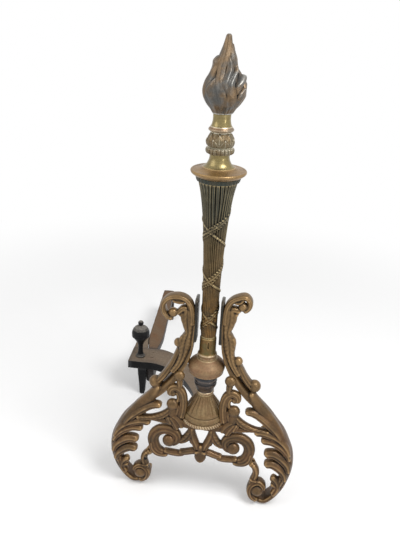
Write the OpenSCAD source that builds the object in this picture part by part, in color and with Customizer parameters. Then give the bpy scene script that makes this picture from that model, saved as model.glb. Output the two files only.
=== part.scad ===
// Andiron: a brass torch column with a flame finial stands on two scrolled legs and a pierced
// apron, and a wrought-iron dog behind it carries the logs. Millimetres, +Z up, the show front
// faces -Y. The pieces are drawn about the column's axis, and placed() moves them so that the
// origin is under the middle of the whole andiron, on the floor.

/* [Column seat and foot] */
// Height of the seat that the column stands on
seat_z = 143.5; // [130:0.5:172]
// Outer radius of the gadrooned ring
seat_r = 32.5; // [29:0.5:39]
// Height of the gadrooned ring
gadroon_h = 6; // [4:0.5:9]
// Height of the fluted bell
bell_h = 41; // [33:1:50]
// Radius of the bell's top
bell_top_r = 11.5; // [10:0.5:14]
// Wall of the hollow bell
bell_wall = 3; // [2:0.5:5]
// Height of the foot torus
torus_h = 5; // [4:0.5:7]
// Radius of the foot torus
torus_r = 14; // [12.5:0.1:17]
// Height of the dark spool
spool_h = 20.5; // [16:0.5:25]
// Radius of the dark spool at its top
spool_r = 17; // [15:0.5:20.5]

/* [Dome and collar] */
// Height of the dome
dome_h = 35; // [29:1:42]
// Radius of the dome's rim
dome_r = 27; // [23:0.5:33]
// Height of the double ring on the dome
cuff_h = 8; // [6.5:0.5:10]
// Radius of the double ring
cuff_r = 14.2; // [13:0.1:17]
// Height of the plain collar
collar_h = 26; // [20:1:32]
// Radius of the plain collar
collar_r = 12.4; // [10:0.1:15]
// Length of the keyhole slot in the collar
slot_h = 11; // [8:0.5:14]
// Width of the keyhole slot
slot_w = 2.4; // [1.5:0.1:3.5]
// Height of the slot's middle over the collar's middle
slot_lift = 3.5; // [0:0.5:5]
// Depth of the keyhole slot
slot_depth = 2; // [1:0.5:3.5]

/* [Torch shaft and disc] */
// Height of the torch shaft
shaft_h = 228.5; // [190:0.5:280]
// Radius of the shaft's foot
shaft_foot_r = 11.4; // [9.5:0.1:14]
// Radius gained evenly up the shaft
shaft_swell = 10.3; // [8:0.1:13]
// Radius of the shaft's lip
shaft_lip_r = 27; // [24:0.5:33]
// Height of the disc
disc_h = 18.5; // [15:0.5:23]
// Radius of the disc's rim
disc_r = 36.2; // [30:0.2:44]
// Thickness of the disc's rim
disc_rim_h = 3; // [2:0.5:5]

/* [Upper column] */
// Height of the polished neck over the disc
neck_h = 16.5; // [13:0.5:20]
// Waist radius of the polished neck
neck_r = 12.6; // [10.5:0.1:15]
// Radius of the polished neck's foot
neck_foot_r = 17; // [14:0.5:21]
// Height of the beaded ring
bead_h = 8.5; // [7:0.5:11]
// Radius of the beaded ring
bead_r = 18.6; // [15.5:0.1:22.5]
// Height of the leaf knop
knop_h = 19; // [15:0.5:23]
// Radius of the leaf knop
knop_r = 18.4; // [15.5:0.1:22]
// Height of the ring over the knop
astragal_h = 7; // [5:0.5:9]
// Radius of the ring over the knop
astragal_r = 16.2; // [13.5:0.1:19.5]
// Height of the neck under the flame
flame_neck_h = 15; // [12:0.5:18]
// Waist radius of the neck under the flame
flame_neck_r = 11.1; // [9.5:0.1:13.5]
// Height of the flame
flame_h = 92; // [75:1:112]
// Radius of the flame at its widest
flame_r = 27; // [22:0.5:33]

/* [Tie rod] */
// Radius of the tie rod
rod_r = 4; // [3:0.5:5]
// Radial clearance of the rod in the pieces that it holds
rod_clearance = 0.1; // [0.05:0.01:0.1]
// Length of rod that screws into the flame
rod_grip = 22; // [15:1:30]
// Across-flats size of the tie nut
nut_flats = 13; // [11:0.5:16]
// Height of the tie nut
nut_h = 6.5; // [5:0.5:8]
// Thickness of the tie washer
washer_t = 1.6; // [1:0.2:2.5]
// Radius of the tie washer
washer_r = 8; // [7:0.5:10]

/* [Scroll legs and apron] */
// Half of the width over both legs
base_half = 142; // [120:1:172]
// Height of the top of the legs' upper scrolls
leg_top_z = 354; // [320:1:400]
// Depth of a leg's plain band, front to back
band_depth = 26; // [20:1:30]
// Thickness of the carved leaves and scrolls
leaf_t = 13; // [10:0.5:16]
// Gap between the dome's rim and a leg
dome_gap = 4; // [3:0.5:6]
// Gap between the shaft and a leg's dark strap
strap_gap = 5; // [4:0.5:8]
// Thickness of a leg's dark strap
strap_t = 4; // [3:0.5:5]
// Radius of the ball in a leg's foot scroll
foot_ball_r = 11; // [9:0.5:12]
// Radius of the large ball on a leg's back
high_ball_r = 8.5; // [7:0.5:10]
// Thickness of the apron's seat plate
seat_plate_t = 5; // [4:0.5:7]
// Radius of the apron's seat plate
seat_plate_r = 18; // [16:0.5:22]
// Thickness of the screw lugs on the apron's back
lug_t = 4; // [3:0.5:5]
// Radius of a screw lug
lug_r = 6; // [5:0.5:7.5]
// Radius of the leg screws
screw_r = 2.4; // [2:0.1:3]
// Radial clearance of the leg screws
screw_clearance = 0.1; // [0.05:0.01:0.1]
// Radius of a leg screw's head
screw_head_r = 4.2; // [3.6:0.1:5]
// Height of a leg screw's head
screw_head_h = 3; // [2:0.5:4]

/* [Iron dog] */
// Height of the log bar's top
log_z = 80; // [70:1:95]
// Thickness of the iron arm and log bar
iron_t = 16; // [13:0.5:19]
// Thickness of the arm's forged eye
eye_t = 5.5; // [4.5:0.5:7]
// Radius of the arm's forged eye
eye_r = 14; // [12:0.5:17]
// Distance of the arm's front edge behind the column
arm_y = 231; // [200:1:275]
// Distance of the arm's end to the left of the column
arm_x = 172; // [150:1:205]
// Depth of the arm's end pad, front to back
pad_depth = 54; // [46:1:64]
// Length of the pad's heel beside the log bar
heel_len = 60; // [50:1:72]
// Length of the log bar behind the pad
bar_len = 286; // [240:1:343]
// Width of the log bar behind its drawn-down end
bar_front_w = 30; // [26:1:36]
// Width of the bar's drawn-down end at the pad
bar_neck_w = 17; // [14:0.5:21]
// Length of the bar's drawn-down end
bar_neck_len = 55; // [45:1:66]
// Width of the log bar at its rear end
bar_rear_w = 24; // [20:1:29]
// Angle at which the log bar splays outwards
bar_splay = 3.2; // [0:0.1:6]
// Outer radius of the bend over the rear leg
bend_r = 22; // [18:1:28]
// Width of the tongue that laps under the pad
tongue_w = 14; // [12:0.5:15]
// Thickness of the tongue under the pad
tongue_t = 22; // [18:1:26]
// Radius of the lap rivets
rivet_r = 3.5; // [3:0.5:4]
// Radial clearance of rivets, tenon and stud in the pad
fit_clearance = 0.05; // [0.03:0.01:0.1]

/* [Iron leg and ball stop] */
// Width of the front iron leg at the pad
iron_leg_w = 14; // [12:0.5:15]
// Width of the front iron leg at the floor
iron_foot_w = 10; // [8.5:0.5:12]
// Radius of the leg's tenon in the pad
tenon_r = 4; // [3.5:0.5:5]
// Radius of the ball on the log stop
stop_ball_r = 17; // [14:0.5:20]
// Height of the ball's centre over the pad
stop_ball_z = 50; // [44:1:60]
// Radius of the log stop's stem
stop_stem_r = 4.4; // [3.6:0.1:5.3]
// Radius of the log stop's flared foot
stop_foot_r = 9.5; // [8:0.5:11]
// Height of the knob over the ball's centre
stop_knob_z = 22; // [19:1:26]
// Radius of the small knob on the ball
stop_knob_r = 5.4; // [4.6:0.2:6.4]
// Radius of the log stop's stud in the pad
stud_r = 3.5; // [3:0.5:4]

/* [Hidden] */
$fn = 64;

// Levels of the column, each piece standing on the one below.
bell_z = seat_z + gadroon_h;
torus_z = bell_z + bell_h;
spool_z = torus_z + torus_h;
dome_z = spool_z + spool_h;
cuff_z = dome_z + dome_h;
collar_z = cuff_z + cuff_h;
shaft_z = collar_z + collar_h;
disc_z = shaft_z + shaft_h;
neck_z = disc_z + disc_h;
bead_z = neck_z + neck_h;
knop_z = bead_z + bead_h;
astragal_z = knop_z + knop_h;
flame_neck_z = astragal_z + astragal_h;
flame_z = flame_neck_z + flame_neck_h;

// The stack below the seat: seat plate, the arm's eye, washer and nut.
eye_z = seat_z - seat_plate_t - eye_t;
washer_z = eye_z - washer_t;
nut_z = washer_z - nut_h;
rod_end = 1.5;
bore_r = rod_r + rod_clearance;

// Stations of the legs and the apron. Outlines are written in stations, so that they follow
// the column and the overall width: across, 0 is the axis, 1 the strap, 2 the side of the dome
// and 3 the widest point; upwards, 0 is the floor, 1 the seat, 2 the dome's rim and 3 the top.
rim_share = 0.53;
across = [0, shaft_foot_r + strap_gap, dome_r + dome_gap, base_half];
upwards = [0, seat_z, dome_z + rim_share * dome_h, leg_top_z];
band_back = band_depth / 2;
leaf_back = -5;
leaf_front = leaf_back - leaf_t;
leaf_middle = leaf_back - leaf_t / 2;
apron_back = leaf_back - 3.5;
joint_gap = 0.3;
curve_steps = 3;
slack = 1;

// The arm's pad, the bar that laps under it, and what stands on it.
iron_z = log_z - iron_t;
pad_back = arm_y + pad_depth;
pad_right = arm_x - 54;
bar_x = arm_x - 38;
tongue_x = arm_x - 41.5;
tongue_y = arm_y + 10;
leg_x = arm_x - 26.5;
leg_y = arm_y + 13;
stop_x = arm_x - 19.5;
stop_y = arm_y + 22;
rear_foot_y = pad_back + bar_len * cos(bar_splay) + bar_rear_w / 2 * sin(bar_splay);
splay_reach = bar_len * sin(bar_splay);
bar_left = bar_x + bar_rear_w / 2 + splay_reach;

// The box around the whole andiron, and its middle.
left_reach = max(base_half, arm_x, bar_left);
front_reach = max(disc_r, seat_r);
centre_x = (base_half - left_reach) / 2;
centre_y = (rear_foot_y - front_reach) / 2;

brass = "peru";
bright_brass = "goldenrod";
dark_brass = "saddlebrown";
bar_iron = "rosybrown";
black_iron = "dimgray";

// Catmull-Rom curve through four neighbouring points, a and d being the outer ones.
function curve_point(a, b, c, d, t) =
    0.5 * (2 * b + (c - a) * t + (2 * a - 5 * b + 4 * c - d) * t * t
    + (3 * b - 3 * c + d - a) * t * t * t);

function smooth(points) =
    let (last = len(points) - 1)
    [for (i = [0 : last - 1]) for (k = [0 : curve_steps - 1])
        curve_point(points[max(i - 1, 0)], points[i], points[i + 1], points[min(i + 2, last)],
            k / curve_steps),
     points[last]];

function reversed(list) = [for (i = [len(list) - 1 : -1 : 0]) list[i]];

// Length at station s along a list of landmarks.
function station(landmarks, s) =
    let (i = min(floor(max(s, 0)), len(landmarks) - 2))
    landmarks[i] + (s - i) * (landmarks[i + 1] - landmarks[i]);

// A point [across, upwards, width] in stations becomes one in millimetres.
function placed_point(p) = [station(across, p[0]), station(upwards, p[1]), p[2]];

// One side of a path [x, y, width], side being 1 for the left and -1 for the right.
function edge(path, side) =
    [for (i = [0 : len(path) - 1])
        let (a = path[max(i - 1, 0)])
        let (b = path[min(i + 1, len(path) - 1)])
        let (run = [b[0] - a[0], b[1] - a[1]])
        [path[i][0] - side * run[1] / norm(run) * path[i][2] / 2,
         path[i][1] + side * run[0] / norm(run) * path[i][2] / 2]];

// A stroke of changing width along a path in millimetres.
module ribbon(path) {
    curve = smooth(path);
    polygon(concat(edge(curve, 1), reversed(edge(curve, -1))));
}

// A stroke along a path in stations, widened by the allowance.
module stroke(points, allowance = 0) {
    ribbon([for (p = points) placed_point([p[0], p[1], p[2] + allowance])]);
}

// A round boss at a point in stations, its third number being the diameter.
module knob(p) {
    centre = placed_point(p);
    translate([centre[0], centre[1]]) circle(d = centre[2]);
}

// Raises an upright outline in X and Z through the depth from front to back.
module upright(front, back) {
    translate([0, back, 0]) rotate([90, 0, 0]) linear_extrude(back - front) children();
}

module placed() {
    translate([-centre_x, -centre_y, 0]) children();
}

// A turned piece: its outline [radius, height] from the foot to the top, bored for the rod.
module turned(z, outline) {
    height = outline[len(outline) - 1][1];
    translate([0, 0, z])
        rotate_extrude() polygon(concat([[bore_r, 0]], outline, [[bore_r, height]]));
}

module gadroon_ring() {
    color(brass) placed() turned(seat_z, [
        [seat_r - 2, 0], [seat_r - 0.5, 1.2], [seat_r, gadroon_h / 2],
        [seat_r - 0.6, gadroon_h - 1], [seat_r - 2, gadroon_h]]);
}

// The bell's flare, t running from its foot to its top.
flare_power = 0.9;
bell_step = 3.5;
function bell_radius(t) = bell_top_r + (seat_r - 3 - bell_top_r) * pow(1 - t, flare_power);

module bell_foot() {
    steps = 8;
    flare_h = bell_h - bell_step;
    color(brass) placed() difference() {
        turned(bell_z, concat(
            [[seat_r - 1.5, 0], [seat_r - 1.5, bell_step]],
            [for (i = [0 : steps]) [bell_radius(i / steps), bell_step + flare_h * i / steps]]));
        translate([0, 0, bell_z]) rotate_extrude() polygon([
            [0, -slack], [seat_r - 3 - bell_wall, -slack], [seat_r - 3 - bell_wall, bell_step],
            [bell_radius(0.5) - bell_wall, bell_h / 2], [bore_r, bell_h * 0.75], [0, bell_h * 0.75]]);
    }
}

module foot_torus() {
    color(brass) placed() turned(torus_z, [
        [torus_r - 2, 0], [torus_r - 0.5, 0.2 * torus_h], [torus_r, torus_h / 2],
        [torus_r - 0.5, 0.8 * torus_h], [torus_r - 2, torus_h]]);
}

// A cup: narrow at the foot, a ring half-way up and a wide lip under the dome.
module dark_spool() {
    outline = [[0.76, 0], [0.8, 0.12], [0.76, 0.24], [0.88, 0.36], [0.92, 0.46], [0.88, 0.56],
        [0.86, 0.64], [0.96, 0.8], [1, 0.92], [1, 1]];
    color(dark_brass) placed()
        turned(spool_z, [for (p = outline) [p[0] * spool_r, p[1] * spool_h]]);
}

// A bun, fullest at its rim, with the spool's lip below and the double ring above.
module dome() {
    lower = [[0.8, 0.15], [0.9, 0.25], [0.98, 0.38]];
    upper = [[1, 0.62], [0.985, 0.7], [0.94, 0.8], [0.865, 0.88], [0.75, 0.945]];
    full = concat(lower, [[1, rim_share]], upper);
    color(brass) placed() turned(dome_z, concat(
        [[spool_r, 0]], [for (p = full) [max(p[0] * dome_r, spool_r), p[1] * dome_h]],
        [[cuff_r, dome_h]]));
}

module cuff_rings() {
    outline = [[1.4, 0], [0.7, 0.14], [0.7, 0.3], [1.6, 0.42], [0.4, 0.56], [0, 0.72], [0.5, 0.9],
        [1.4, 1]];
    color(brass) placed()
        turned(cuff_z, [for (p = outline) [cuff_r - p[0], p[1] * cuff_h]]);
}

module slotted_collar() {
    color(brass) placed() difference() {
        turned(collar_z, [[collar_r + 0.6, 0], [collar_r, 1.5], [collar_r, collar_h]]);
        translate([-slot_w / 2, -collar_r - slack, collar_z + (collar_h - slot_h) / 2 + slot_lift])
            cube([slot_w, slot_depth + slack, slot_h]);
    }
}

// The torch swells slowly and flares at its lip.
swell_power = 2.4;
lip_power = 30;
function shaft_radius(t) =
    shaft_foot_r + shaft_swell * pow(t, swell_power)
    + (shaft_lip_r - shaft_foot_r - shaft_swell) * pow(t, lip_power);

module torch_shaft() {
    heights = [0, 0.15, 0.3, 0.42, 0.54, 0.65, 0.75, 0.84, 0.9, 0.94, 0.97, 0.985, 1];
    color(dark_brass) placed()
        turned(shaft_z, [for (t = heights) [shaft_radius(t), shaft_h * t]]);
}

module drip_disc() {
    rim_z = 0.62 * disc_h;
    color(bright_brass) placed() turned(disc_z, [
        [shaft_lip_r, 0], [shaft_lip_r, 0.1 * disc_h], [0.8 * disc_r, 0.32 * disc_h],
        [0.93 * disc_r, rim_z - disc_rim_h / 2], [disc_r, rim_z], [disc_r, rim_z + disc_rim_h / 2],
        [disc_r - 2, rim_z + disc_rim_h], [neck_foot_r, disc_h]]);
}

module polished_neck() {
    color(bright_brass) placed() turned(neck_z, [
        [neck_foot_r, 0], [neck_r + 1.8, 0.24 * neck_h], [neck_r, 0.6 * neck_h],
        [neck_r, 0.8 * neck_h], [neck_r + 1, neck_h]]);
}

module beaded_ring() {
    color(brass) placed() turned(bead_z, [
        [bead_r - 2.4, 0], [bead_r - 0.5, 0.2 * bead_h], [bead_r, bead_h / 2],
        [bead_r - 0.5, 0.8 * bead_h], [bead_r - 2.4, bead_h]]);
}

module leaf_knop() {
    color(brass) placed() turned(knop_z, [
        [knop_r - 3.4, 0], [knop_r - 0.6, 0.16 * knop_h], [knop_r, 0.36 * knop_h],
        [knop_r - 0.9, 0.56 * knop_h], [knop_r - 2.8, 0.76 * knop_h], [knop_r - 4, knop_h]]);
}

module astragal_ring() {
    color(bright_brass) placed() turned(astragal_z, [
        [astragal_r - 1.6, 0], [astragal_r, 0.3 * astragal_h], [astragal_r, 0.6 * astragal_h],
        [astragal_r - 2, astragal_h]]);
}

module flame_neck() {
    color(bright_brass) placed() turned(flame_neck_z, [
        [flame_neck_r + 1.9, 0], [flame_neck_r + 0.4, 0.3 * flame_neck_h],
        [flame_neck_r, 0.6 * flame_neck_h], [flame_neck_r + 0.9, flame_neck_h]]);
}

// The flame screws onto the rod and clamps the stack.
module flame_finial() {
    outline = [[0.44, 0], [0.62, 0.08], [0.86, 0.17], [0.98, 0.27], [1, 0.34], [0.94, 0.43],
        [0.77, 0.54], [0.62, 0.65], [0.5, 0.75], [0.33, 0.84], [0.17, 0.92], [0.06, 0.98]];
    color(dark_brass) placed() difference() {
        translate([0, 0, flame_z]) rotate_extrude() polygon(concat([[0, 0]],
            [for (p = outline) [p[0] * flame_r, p[1] * flame_h]], [[0, flame_h]]));
        translate([0, 0, flame_z - slack]) cylinder(h = rod_grip + 2 * slack, r = bore_r);
    }
}

module tie_rod() {
    color(black_iron) placed()
        translate([0, 0, nut_z - rod_end])
            cylinder(h = flame_z + rod_grip - nut_z + rod_end, r = rod_r);
}

module tie_washer() {
    color(black_iron) placed() translate([0, 0, washer_z]) difference() {
        cylinder(h = washer_t, r = washer_r);
        translate([0, 0, -slack]) cylinder(h = washer_t + 2 * slack, r = bore_r);
    }
}

module tie_nut() {
    color(black_iron) placed() translate([0, 0, nut_z]) difference() {
        cylinder(h = nut_h, r = nut_flats / sqrt(3), $fn = 6);
        translate([0, 0, -slack]) cylinder(h = nut_h + 2 * slack, r = bore_r, $fn = 64);
    }
}

// Where a leg screw goes through the apron's lug into a leg, in stations.
screw_places = [[2.61, 0.95], [2.49, 0.44]];

module at_screws() {
    for (p = screw_places) translate([station(across, p[0]), 0, station(upwards, p[1])])
        rotate([-90, 0, 0]) children();
}

// The plain band of a right leg: down the column, out over the leg's back and round the foot.
band_path = [
    [1.33, 2.68, 7], [1.44, 2.47, 7], [1.63, 2.26, 8], [1.93, 2.13, 9], [2.045, 2.01, 10],
    [2.12, 1.84, 12], [2.22, 1.67, 13], [2.32, 1.53, 13], [2.44, 1.39, 11], [2.58, 1.22, 10],
    [2.69, 1.05, 9.5], [2.8, 0.92, 9], [2.88, 0.79, 9], [2.935, 0.68, 9], [2.96, 0.57, 9],
    [2.955, 0.46, 9], [2.92, 0.35, 9], [2.87, 0.24, 9.5], [2.78, 0.12, 10], [2.67, 0.03, 10],
    [2.56, 0.045, 9], [2.47, 0.1, 7.5], [2.43, 0.185, 6.5], [2.465, 0.255, 6], [2.54, 0.28, 5]];
// The sheath of leaf outside the strap, and the scroll that curls from it.
sheath_path = [[1.75, 2.86, 11], [1.7, 2.7, 13], [1.8, 2.54, 14], [2.0, 2.4, 15],
    [2.03, 2.26, 15], [2.06, 2.14, 13], [2.11, 2.03, 9]];
scroll_path = [[1.5, 2.7, 11], [1.62, 2.86, 12], [2.02, 2.945, 11], [2.12, 2.955, 10],
    [2.235, 2.925, 9], [2.27, 2.83, 9], [2.235, 2.73, 9], [2.17, 2.705, 8], [2.12, 2.74, 7],
    [2.125, 2.79, 6], [2.16, 2.8, 5]];
tail_path = [[2.43, 0.22, 8], [2.47, 0.32, 9], [2.5, 0.4, 10], [2.475, 0.47, 10], [2.42, 0.51, 7]];
leaf_paths = [
    [[2.56, 1.3, 13], [2.45, 1.28, 13], [2.36, 1.2, 9], [2.32, 1.14, 5]],
    [[2.73, 1.0, 17], [2.62, 0.95, 15], [2.53, 0.91, 11], [2.46, 0.9, 6]],
    [[2.85, 0.83, 17], [2.74, 0.77, 16], [2.65, 0.725, 12], [2.59, 0.71, 6]],
    [[2.91, 0.67, 17], [2.79, 0.6, 16], [2.69, 0.55, 12], [2.61, 0.53, 6]],
    [[2.92, 0.48, 15], [2.81, 0.4, 14], [2.72, 0.355, 10], [2.66, 0.37, 5]],
    [[2.86, 0.31, 13], [2.78, 0.24, 11], [2.71, 0.21, 6]]];
low_knobs = [[2.14, 2.05, 13], [2.1, 2.28, 11]];
foot_ball = [2.54, 0.18];
high_ball = [2.375, 1.635];

module leg_leaves() {
    stroke(sheath_path);
    stroke(scroll_path);
    stroke(tail_path);
    for (path = leaf_paths) stroke(path);
    for (p = low_knobs) knob(p);
}

module scroll_leg() {
    limits = [base_half, leg_top_z];
    strap_foot = station(upwards, 2.24);
    difference() {
        union() {
            upright(-band_back, band_back) intersection() {
                stroke(band_path);
                square(limits);
            }
            upright(-band_back, band_back) translate([across[1], strap_foot])
                square([strap_t, station(upwards, 2.94) - strap_foot]);
            upright(leaf_front, leaf_back) intersection() {
                leg_leaves();
                square(limits);
            }
            for (ball = [[foot_ball, foot_ball_r], [high_ball, high_ball_r]])
                translate([station(across, ball[0][0]), leaf_middle, station(upwards, ball[0][1])])
                    sphere(r = ball[1]);
        }
        at_screws() translate([0, 0, leaf_front + 3])
            cylinder(h = leaf_t, r = screw_r + screw_clearance);
    }
}

module right_scroll_leg() {
    color(brass) placed() scroll_leg();
}

module left_scroll_leg() {
    color(brass) placed() mirror([1, 0, 0]) scroll_leg();
}

// The right half of the apron's scrollwork.
ear_path = [[2.05, 1.06, 8], [2.0, 1.22, 8], [1.95, 1.38, 8.5], [2.01, 1.58, 9], [2.08, 1.67, 9],
    [2.16, 1.66, 8.6], [2.2, 1.58, 8.2], [2.17, 1.51, 7.4], [2.13, 1.53, 6.6]];
ear_stalk = [[2.06, 1.64, 7], [2.04, 1.74, 7], [2.05, 1.84, 8]];
bud_stalk = [[2.13, 1.1, 16], [2.14, 1.25, 11], [2.14, 1.36, 9]];
vine_path = [[2.1, 1.1, 15], [2.22, 1.17, 11], [2.32, 1.07, 8], [2.45, 0.975, 9], [2.55, 0.955, 8]];
shelf_path = [[-0.1, 0.955, 12], [1.2, 0.955, 12], [1.9, 0.97, 11], [2.1, 1.06, 16]];
cluster_path = [[2.12, 1.12, 18], [2.07, 0.99, 14], [2.04, 0.93, 8]];
volute_path = [[2.1, 0.73, 11], [2.04, 0.78, 9], [2.04, 0.86, 9], [2.14, 0.905, 10],
    [2.28, 0.89, 11], [2.4, 0.83, 11], [2.44, 0.73, 10], [2.41, 0.6, 10], [2.31, 0.54, 9],
    [2.12, 0.57, 9], [1.5, 0.61, 9], [0.6, 0.64, 10], [0.1, 0.62, 12]];
stem_path = [[0.85, 0.965, 10], [0.78, 0.88, 10], [0.55, 0.78, 10], [0.25, 0.7, 11], [0.1, 0.6, 11]];
twig_path = [[0.75, 0.84, 6], [1.3, 0.8, 6], [1.8, 0.76, 8]];
apron_knobs = [[2.13, 0.71, 14], [2.14, 1.4, 13], [2.055, 1.86, 14], [1.8, 0.77, 10],
    [2.13, 1.56, 9]];
pendant_path = [[0, 0.74, 14], [0, 0.62, 17], [0, 0.55, 13], [0, 0.5, 6]];

module apron_half() {
    upright(leaf_front, apron_back) {
        stroke(ear_path);
        stroke(ear_stalk);
        stroke(bud_stalk);
        stroke(vine_path);
        stroke(shelf_path);
        stroke(cluster_path);
        stroke(volute_path);
        stroke(stem_path);
        stroke(twig_path);
        for (p = apron_knobs) knob(p);
    }
}

// Lugs reach behind the legs' leaves, and each takes a screw from the back.
module apron_lugs() {
    lug_roots = [[2.47, 0.975], [2.4, 0.57]];
    upright(leaf_back, leaf_back + lug_t) for (i = [0 : len(screw_places) - 1]) {
        seat = screw_places[i];
        root = lug_roots[i];
        stroke([[seat[0], seat[1], 2 * lug_r], [root[0], root[1], 2 * lug_r]]);
        knob([seat[0], seat[1], 2 * lug_r]);
        knob([root[0], root[1], 2 * lug_r]);
    }
    upright(apron_back - slack, leaf_back + slack)
        for (root = lug_roots) knob([root[0], root[1], lug_r]);
}

// What one leg takes out of the apron: its band, its leaves and the holes of its screws.
module leg_room() {
    upright(-band_back - joint_gap, slack) stroke(band_path, 2 * joint_gap);
    upright(leaf_front - slack, leaf_back - slack)
        for (path = leaf_paths) stroke(path, 2 * joint_gap);
    at_screws() translate([0, 0, leaf_back - slack])
        cylinder(h = lug_t + 2 * slack, r = screw_r + screw_clearance);
}

module pierced_apron() {
    plate_z = seat_z - seat_plate_t;
    color(brass) placed() difference() {
        union() {
            for (side = [0, 1]) mirror([side, 0, 0]) {
                apron_half();
                apron_lugs();
            }
            upright(leaf_front, apron_back) stroke(pendant_path);
            translate([0, 0, plate_z]) cylinder(h = seat_plate_t, r = seat_plate_r);
        }
        for (side = [0, 1]) mirror([side, 0, 0]) leg_room();
        translate([0, 0, plate_z - slack]) cylinder(h = seat_plate_t + 2 * slack, r = bore_r);
        translate([0, 0, eye_z]) cylinder(h = eye_t, r = eye_r + joint_gap);
        translate([0, 0, seat_z]) seat_room();
    }
}

// Room for the ring and the lower half of the bell, whatever their size.
module seat_room() {
    step_top = gadroon_h + bell_step;
    half_up = step_top + (bell_h - bell_step) / 2;
    rotate_extrude() polygon([
        [0, 0], [seat_r + joint_gap, 0], [seat_r + joint_gap, step_top + joint_gap],
        [bell_radius(0) + joint_gap, step_top + joint_gap],
        [bell_radius(0.5) + joint_gap, half_up], [0, half_up]]);
}

module leg_screws() {
    head_y = leaf_back + lug_t;
    color(black_iron) placed() for (side = [0, 1]) mirror([side, 0, 0]) at_screws() {
        translate([0, 0, leaf_front + 4]) cylinder(h = head_y - leaf_front - 4, r = screw_r);
        translate([0, 0, head_y]) cylinder(h = screw_head_h, r = screw_head_r);
    }
}

// The arm in plan, in stations: 0 is the column's axis, 1 the pad's right end and front edge.
arm_path = [[0, 0, 20], [0.06, 0.17, 22], [0.14, 0.41, 21], [0.31, 0.69, 25], [0.5, 0.91, 35],
    [0.73, 1.05, 46]];
eye_flat = seat_plate_r + 1;
slope_end = 0.93 * arm_y;

module arm_plan() {
    end_w = pad_depth + 2 * slack;
    end_y = arm_y + end_w / 2;
    ribbon(concat([for (p = arm_path) [-p[0] * pad_right, p[1] * arm_y, p[2]]],
        [[-pad_right, end_y, end_w], [-arm_x - 2 * slack, end_y, end_w]]));
}

// The pad's heel runs back beside the log bar, and its inner edge follows the bar.
module heel_plan() {
    difference() {
        translate([0, pad_back]) polygon([[-arm_x, -slack], [-arm_x, 0.45 * heel_len],
            [-arm_x + 4, 0.7 * heel_len], [-bar_x - bar_neck_w / 2, heel_len],
            [-bar_x, heel_len / 2], [-bar_x, -slack]]);
        translate([-bar_x, pad_back]) rotate(bar_splay) offset(delta = joint_gap) bar_plan();
    }
}

// The arm seen from its side, depth and height: the eye, the falling stretch and the flat pad.
module arm_side() {
    polygon([[-eye_r - slack, eye_z], [eye_flat, eye_z], [slope_end, iron_z],
        [pad_back, iron_z], [pad_back, log_z], [slope_end, log_z],
        [eye_flat, eye_z + eye_t], [-eye_r - slack, eye_z + eye_t]]);
}

// Turns an outline in depth and height into a solid that is centred on X.
module sideways(width) {
    rotate([90, 0, 90]) translate([0, 0, -width / 2]) linear_extrude(width) children();
}

rivet_places = [for (share = [0.42, 0.78]) [-tongue_x, arm_y + share * pad_depth]];

module pad_bore(x, y, r) {
    translate([x, y, iron_z - slack]) cylinder(h = iron_t + 2 * slack, r = r + fit_clearance);
}

module iron_arm() {
    color(black_iron) placed() difference() {
        union() {
            translate([0, 0, eye_z]) cylinder(h = eye_t, r = eye_r);
            intersection() {
                linear_extrude(seat_z) arm_plan();
                sideways(2 * arm_x) arm_side();
            }
            translate([0, 0, iron_z]) linear_extrude(iron_t) heel_plan();
        }
        translate([0, 0, eye_z - slack]) cylinder(h = eye_t + 2 * slack, r = bore_r);
        pad_bore(-leg_x, leg_y, tenon_r);
        pad_bore(-stop_x, stop_y, stud_r);
        for (p = rivet_places) pad_bore(p[0], p[1], rivet_r);
    }
}

// The bar and its rear leg seen from the side, along the bar and up.
module bar_side() {
    bend = [bar_len - bend_r, log_z - bend_r];
    translate([-2 * slack, iron_z]) square([bend[0] + 2 * slack, iron_t]);
    translate([bar_len - iron_t, 0]) square([iron_t, bend[1]]);
    intersection() {
        difference() {
            translate(bend) circle(r = bend_r);
            translate(bend) circle(r = bend_r - iron_t);
        }
        translate(bend) square(bend_r);
    }
}

module bar_plan() {
    neck = bar_neck_w / 2;
    front = bar_front_w / 2;
    rear = bar_rear_w / 2;
    polygon([[-neck, -2 * slack], [neck, -2 * slack], [neck + 0.7 * (front - neck), bar_neck_len / 2],
        [front, bar_neck_len], [rear, bar_len], [-rear, bar_len], [-front, bar_neck_len],
        [-neck - 0.7 * (front - neck), bar_neck_len / 2]]);
}

// The tongue laps under the pad, and its heel carries the bar's end.
module bar_tongue() {
    heel = 20;
    difference() {
        translate([-tongue_x, pad_back + heel, iron_z - tongue_t + tongue_w / 2])
            rotate([90, 0, 0]) linear_extrude(pad_back + heel - tongue_y) {
                circle(d = tongue_w);
                translate([-tongue_w / 2, 0]) square([tongue_w, tongue_t - tongue_w / 2]);
            }
        for (p = rivet_places) translate([p[0], p[1], iron_z - tongue_t - slack])
            cylinder(h = tongue_t + 2 * slack, r = rivet_r + fit_clearance);
    }
    translate([-tongue_x - tongue_w / 2, pad_back, iron_z - slack])
        cube([tongue_w, heel, 2 * slack]);
}

module log_bar() {
    color(bar_iron) placed() {
        intersection() {
            translate([-bar_x, pad_back, 0]) rotate(bar_splay) intersection() {
                sideways(bar_front_w + 2 * slack) bar_side();
                linear_extrude(log_z) bar_plan();
            }
            translate([-2 * arm_x, pad_back, 0]) cube([2 * arm_x, 2 * bar_len, log_z]);
        }
        bar_tongue();
    }
}

module lap_rivets() {
    crown = 1;
    color(black_iron) placed() for (p = rivet_places)
        translate([p[0], p[1], iron_z - tongue_t + crown])
            cylinder(h = iron_t + tongue_t - crown, r = rivet_r);
}

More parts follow.
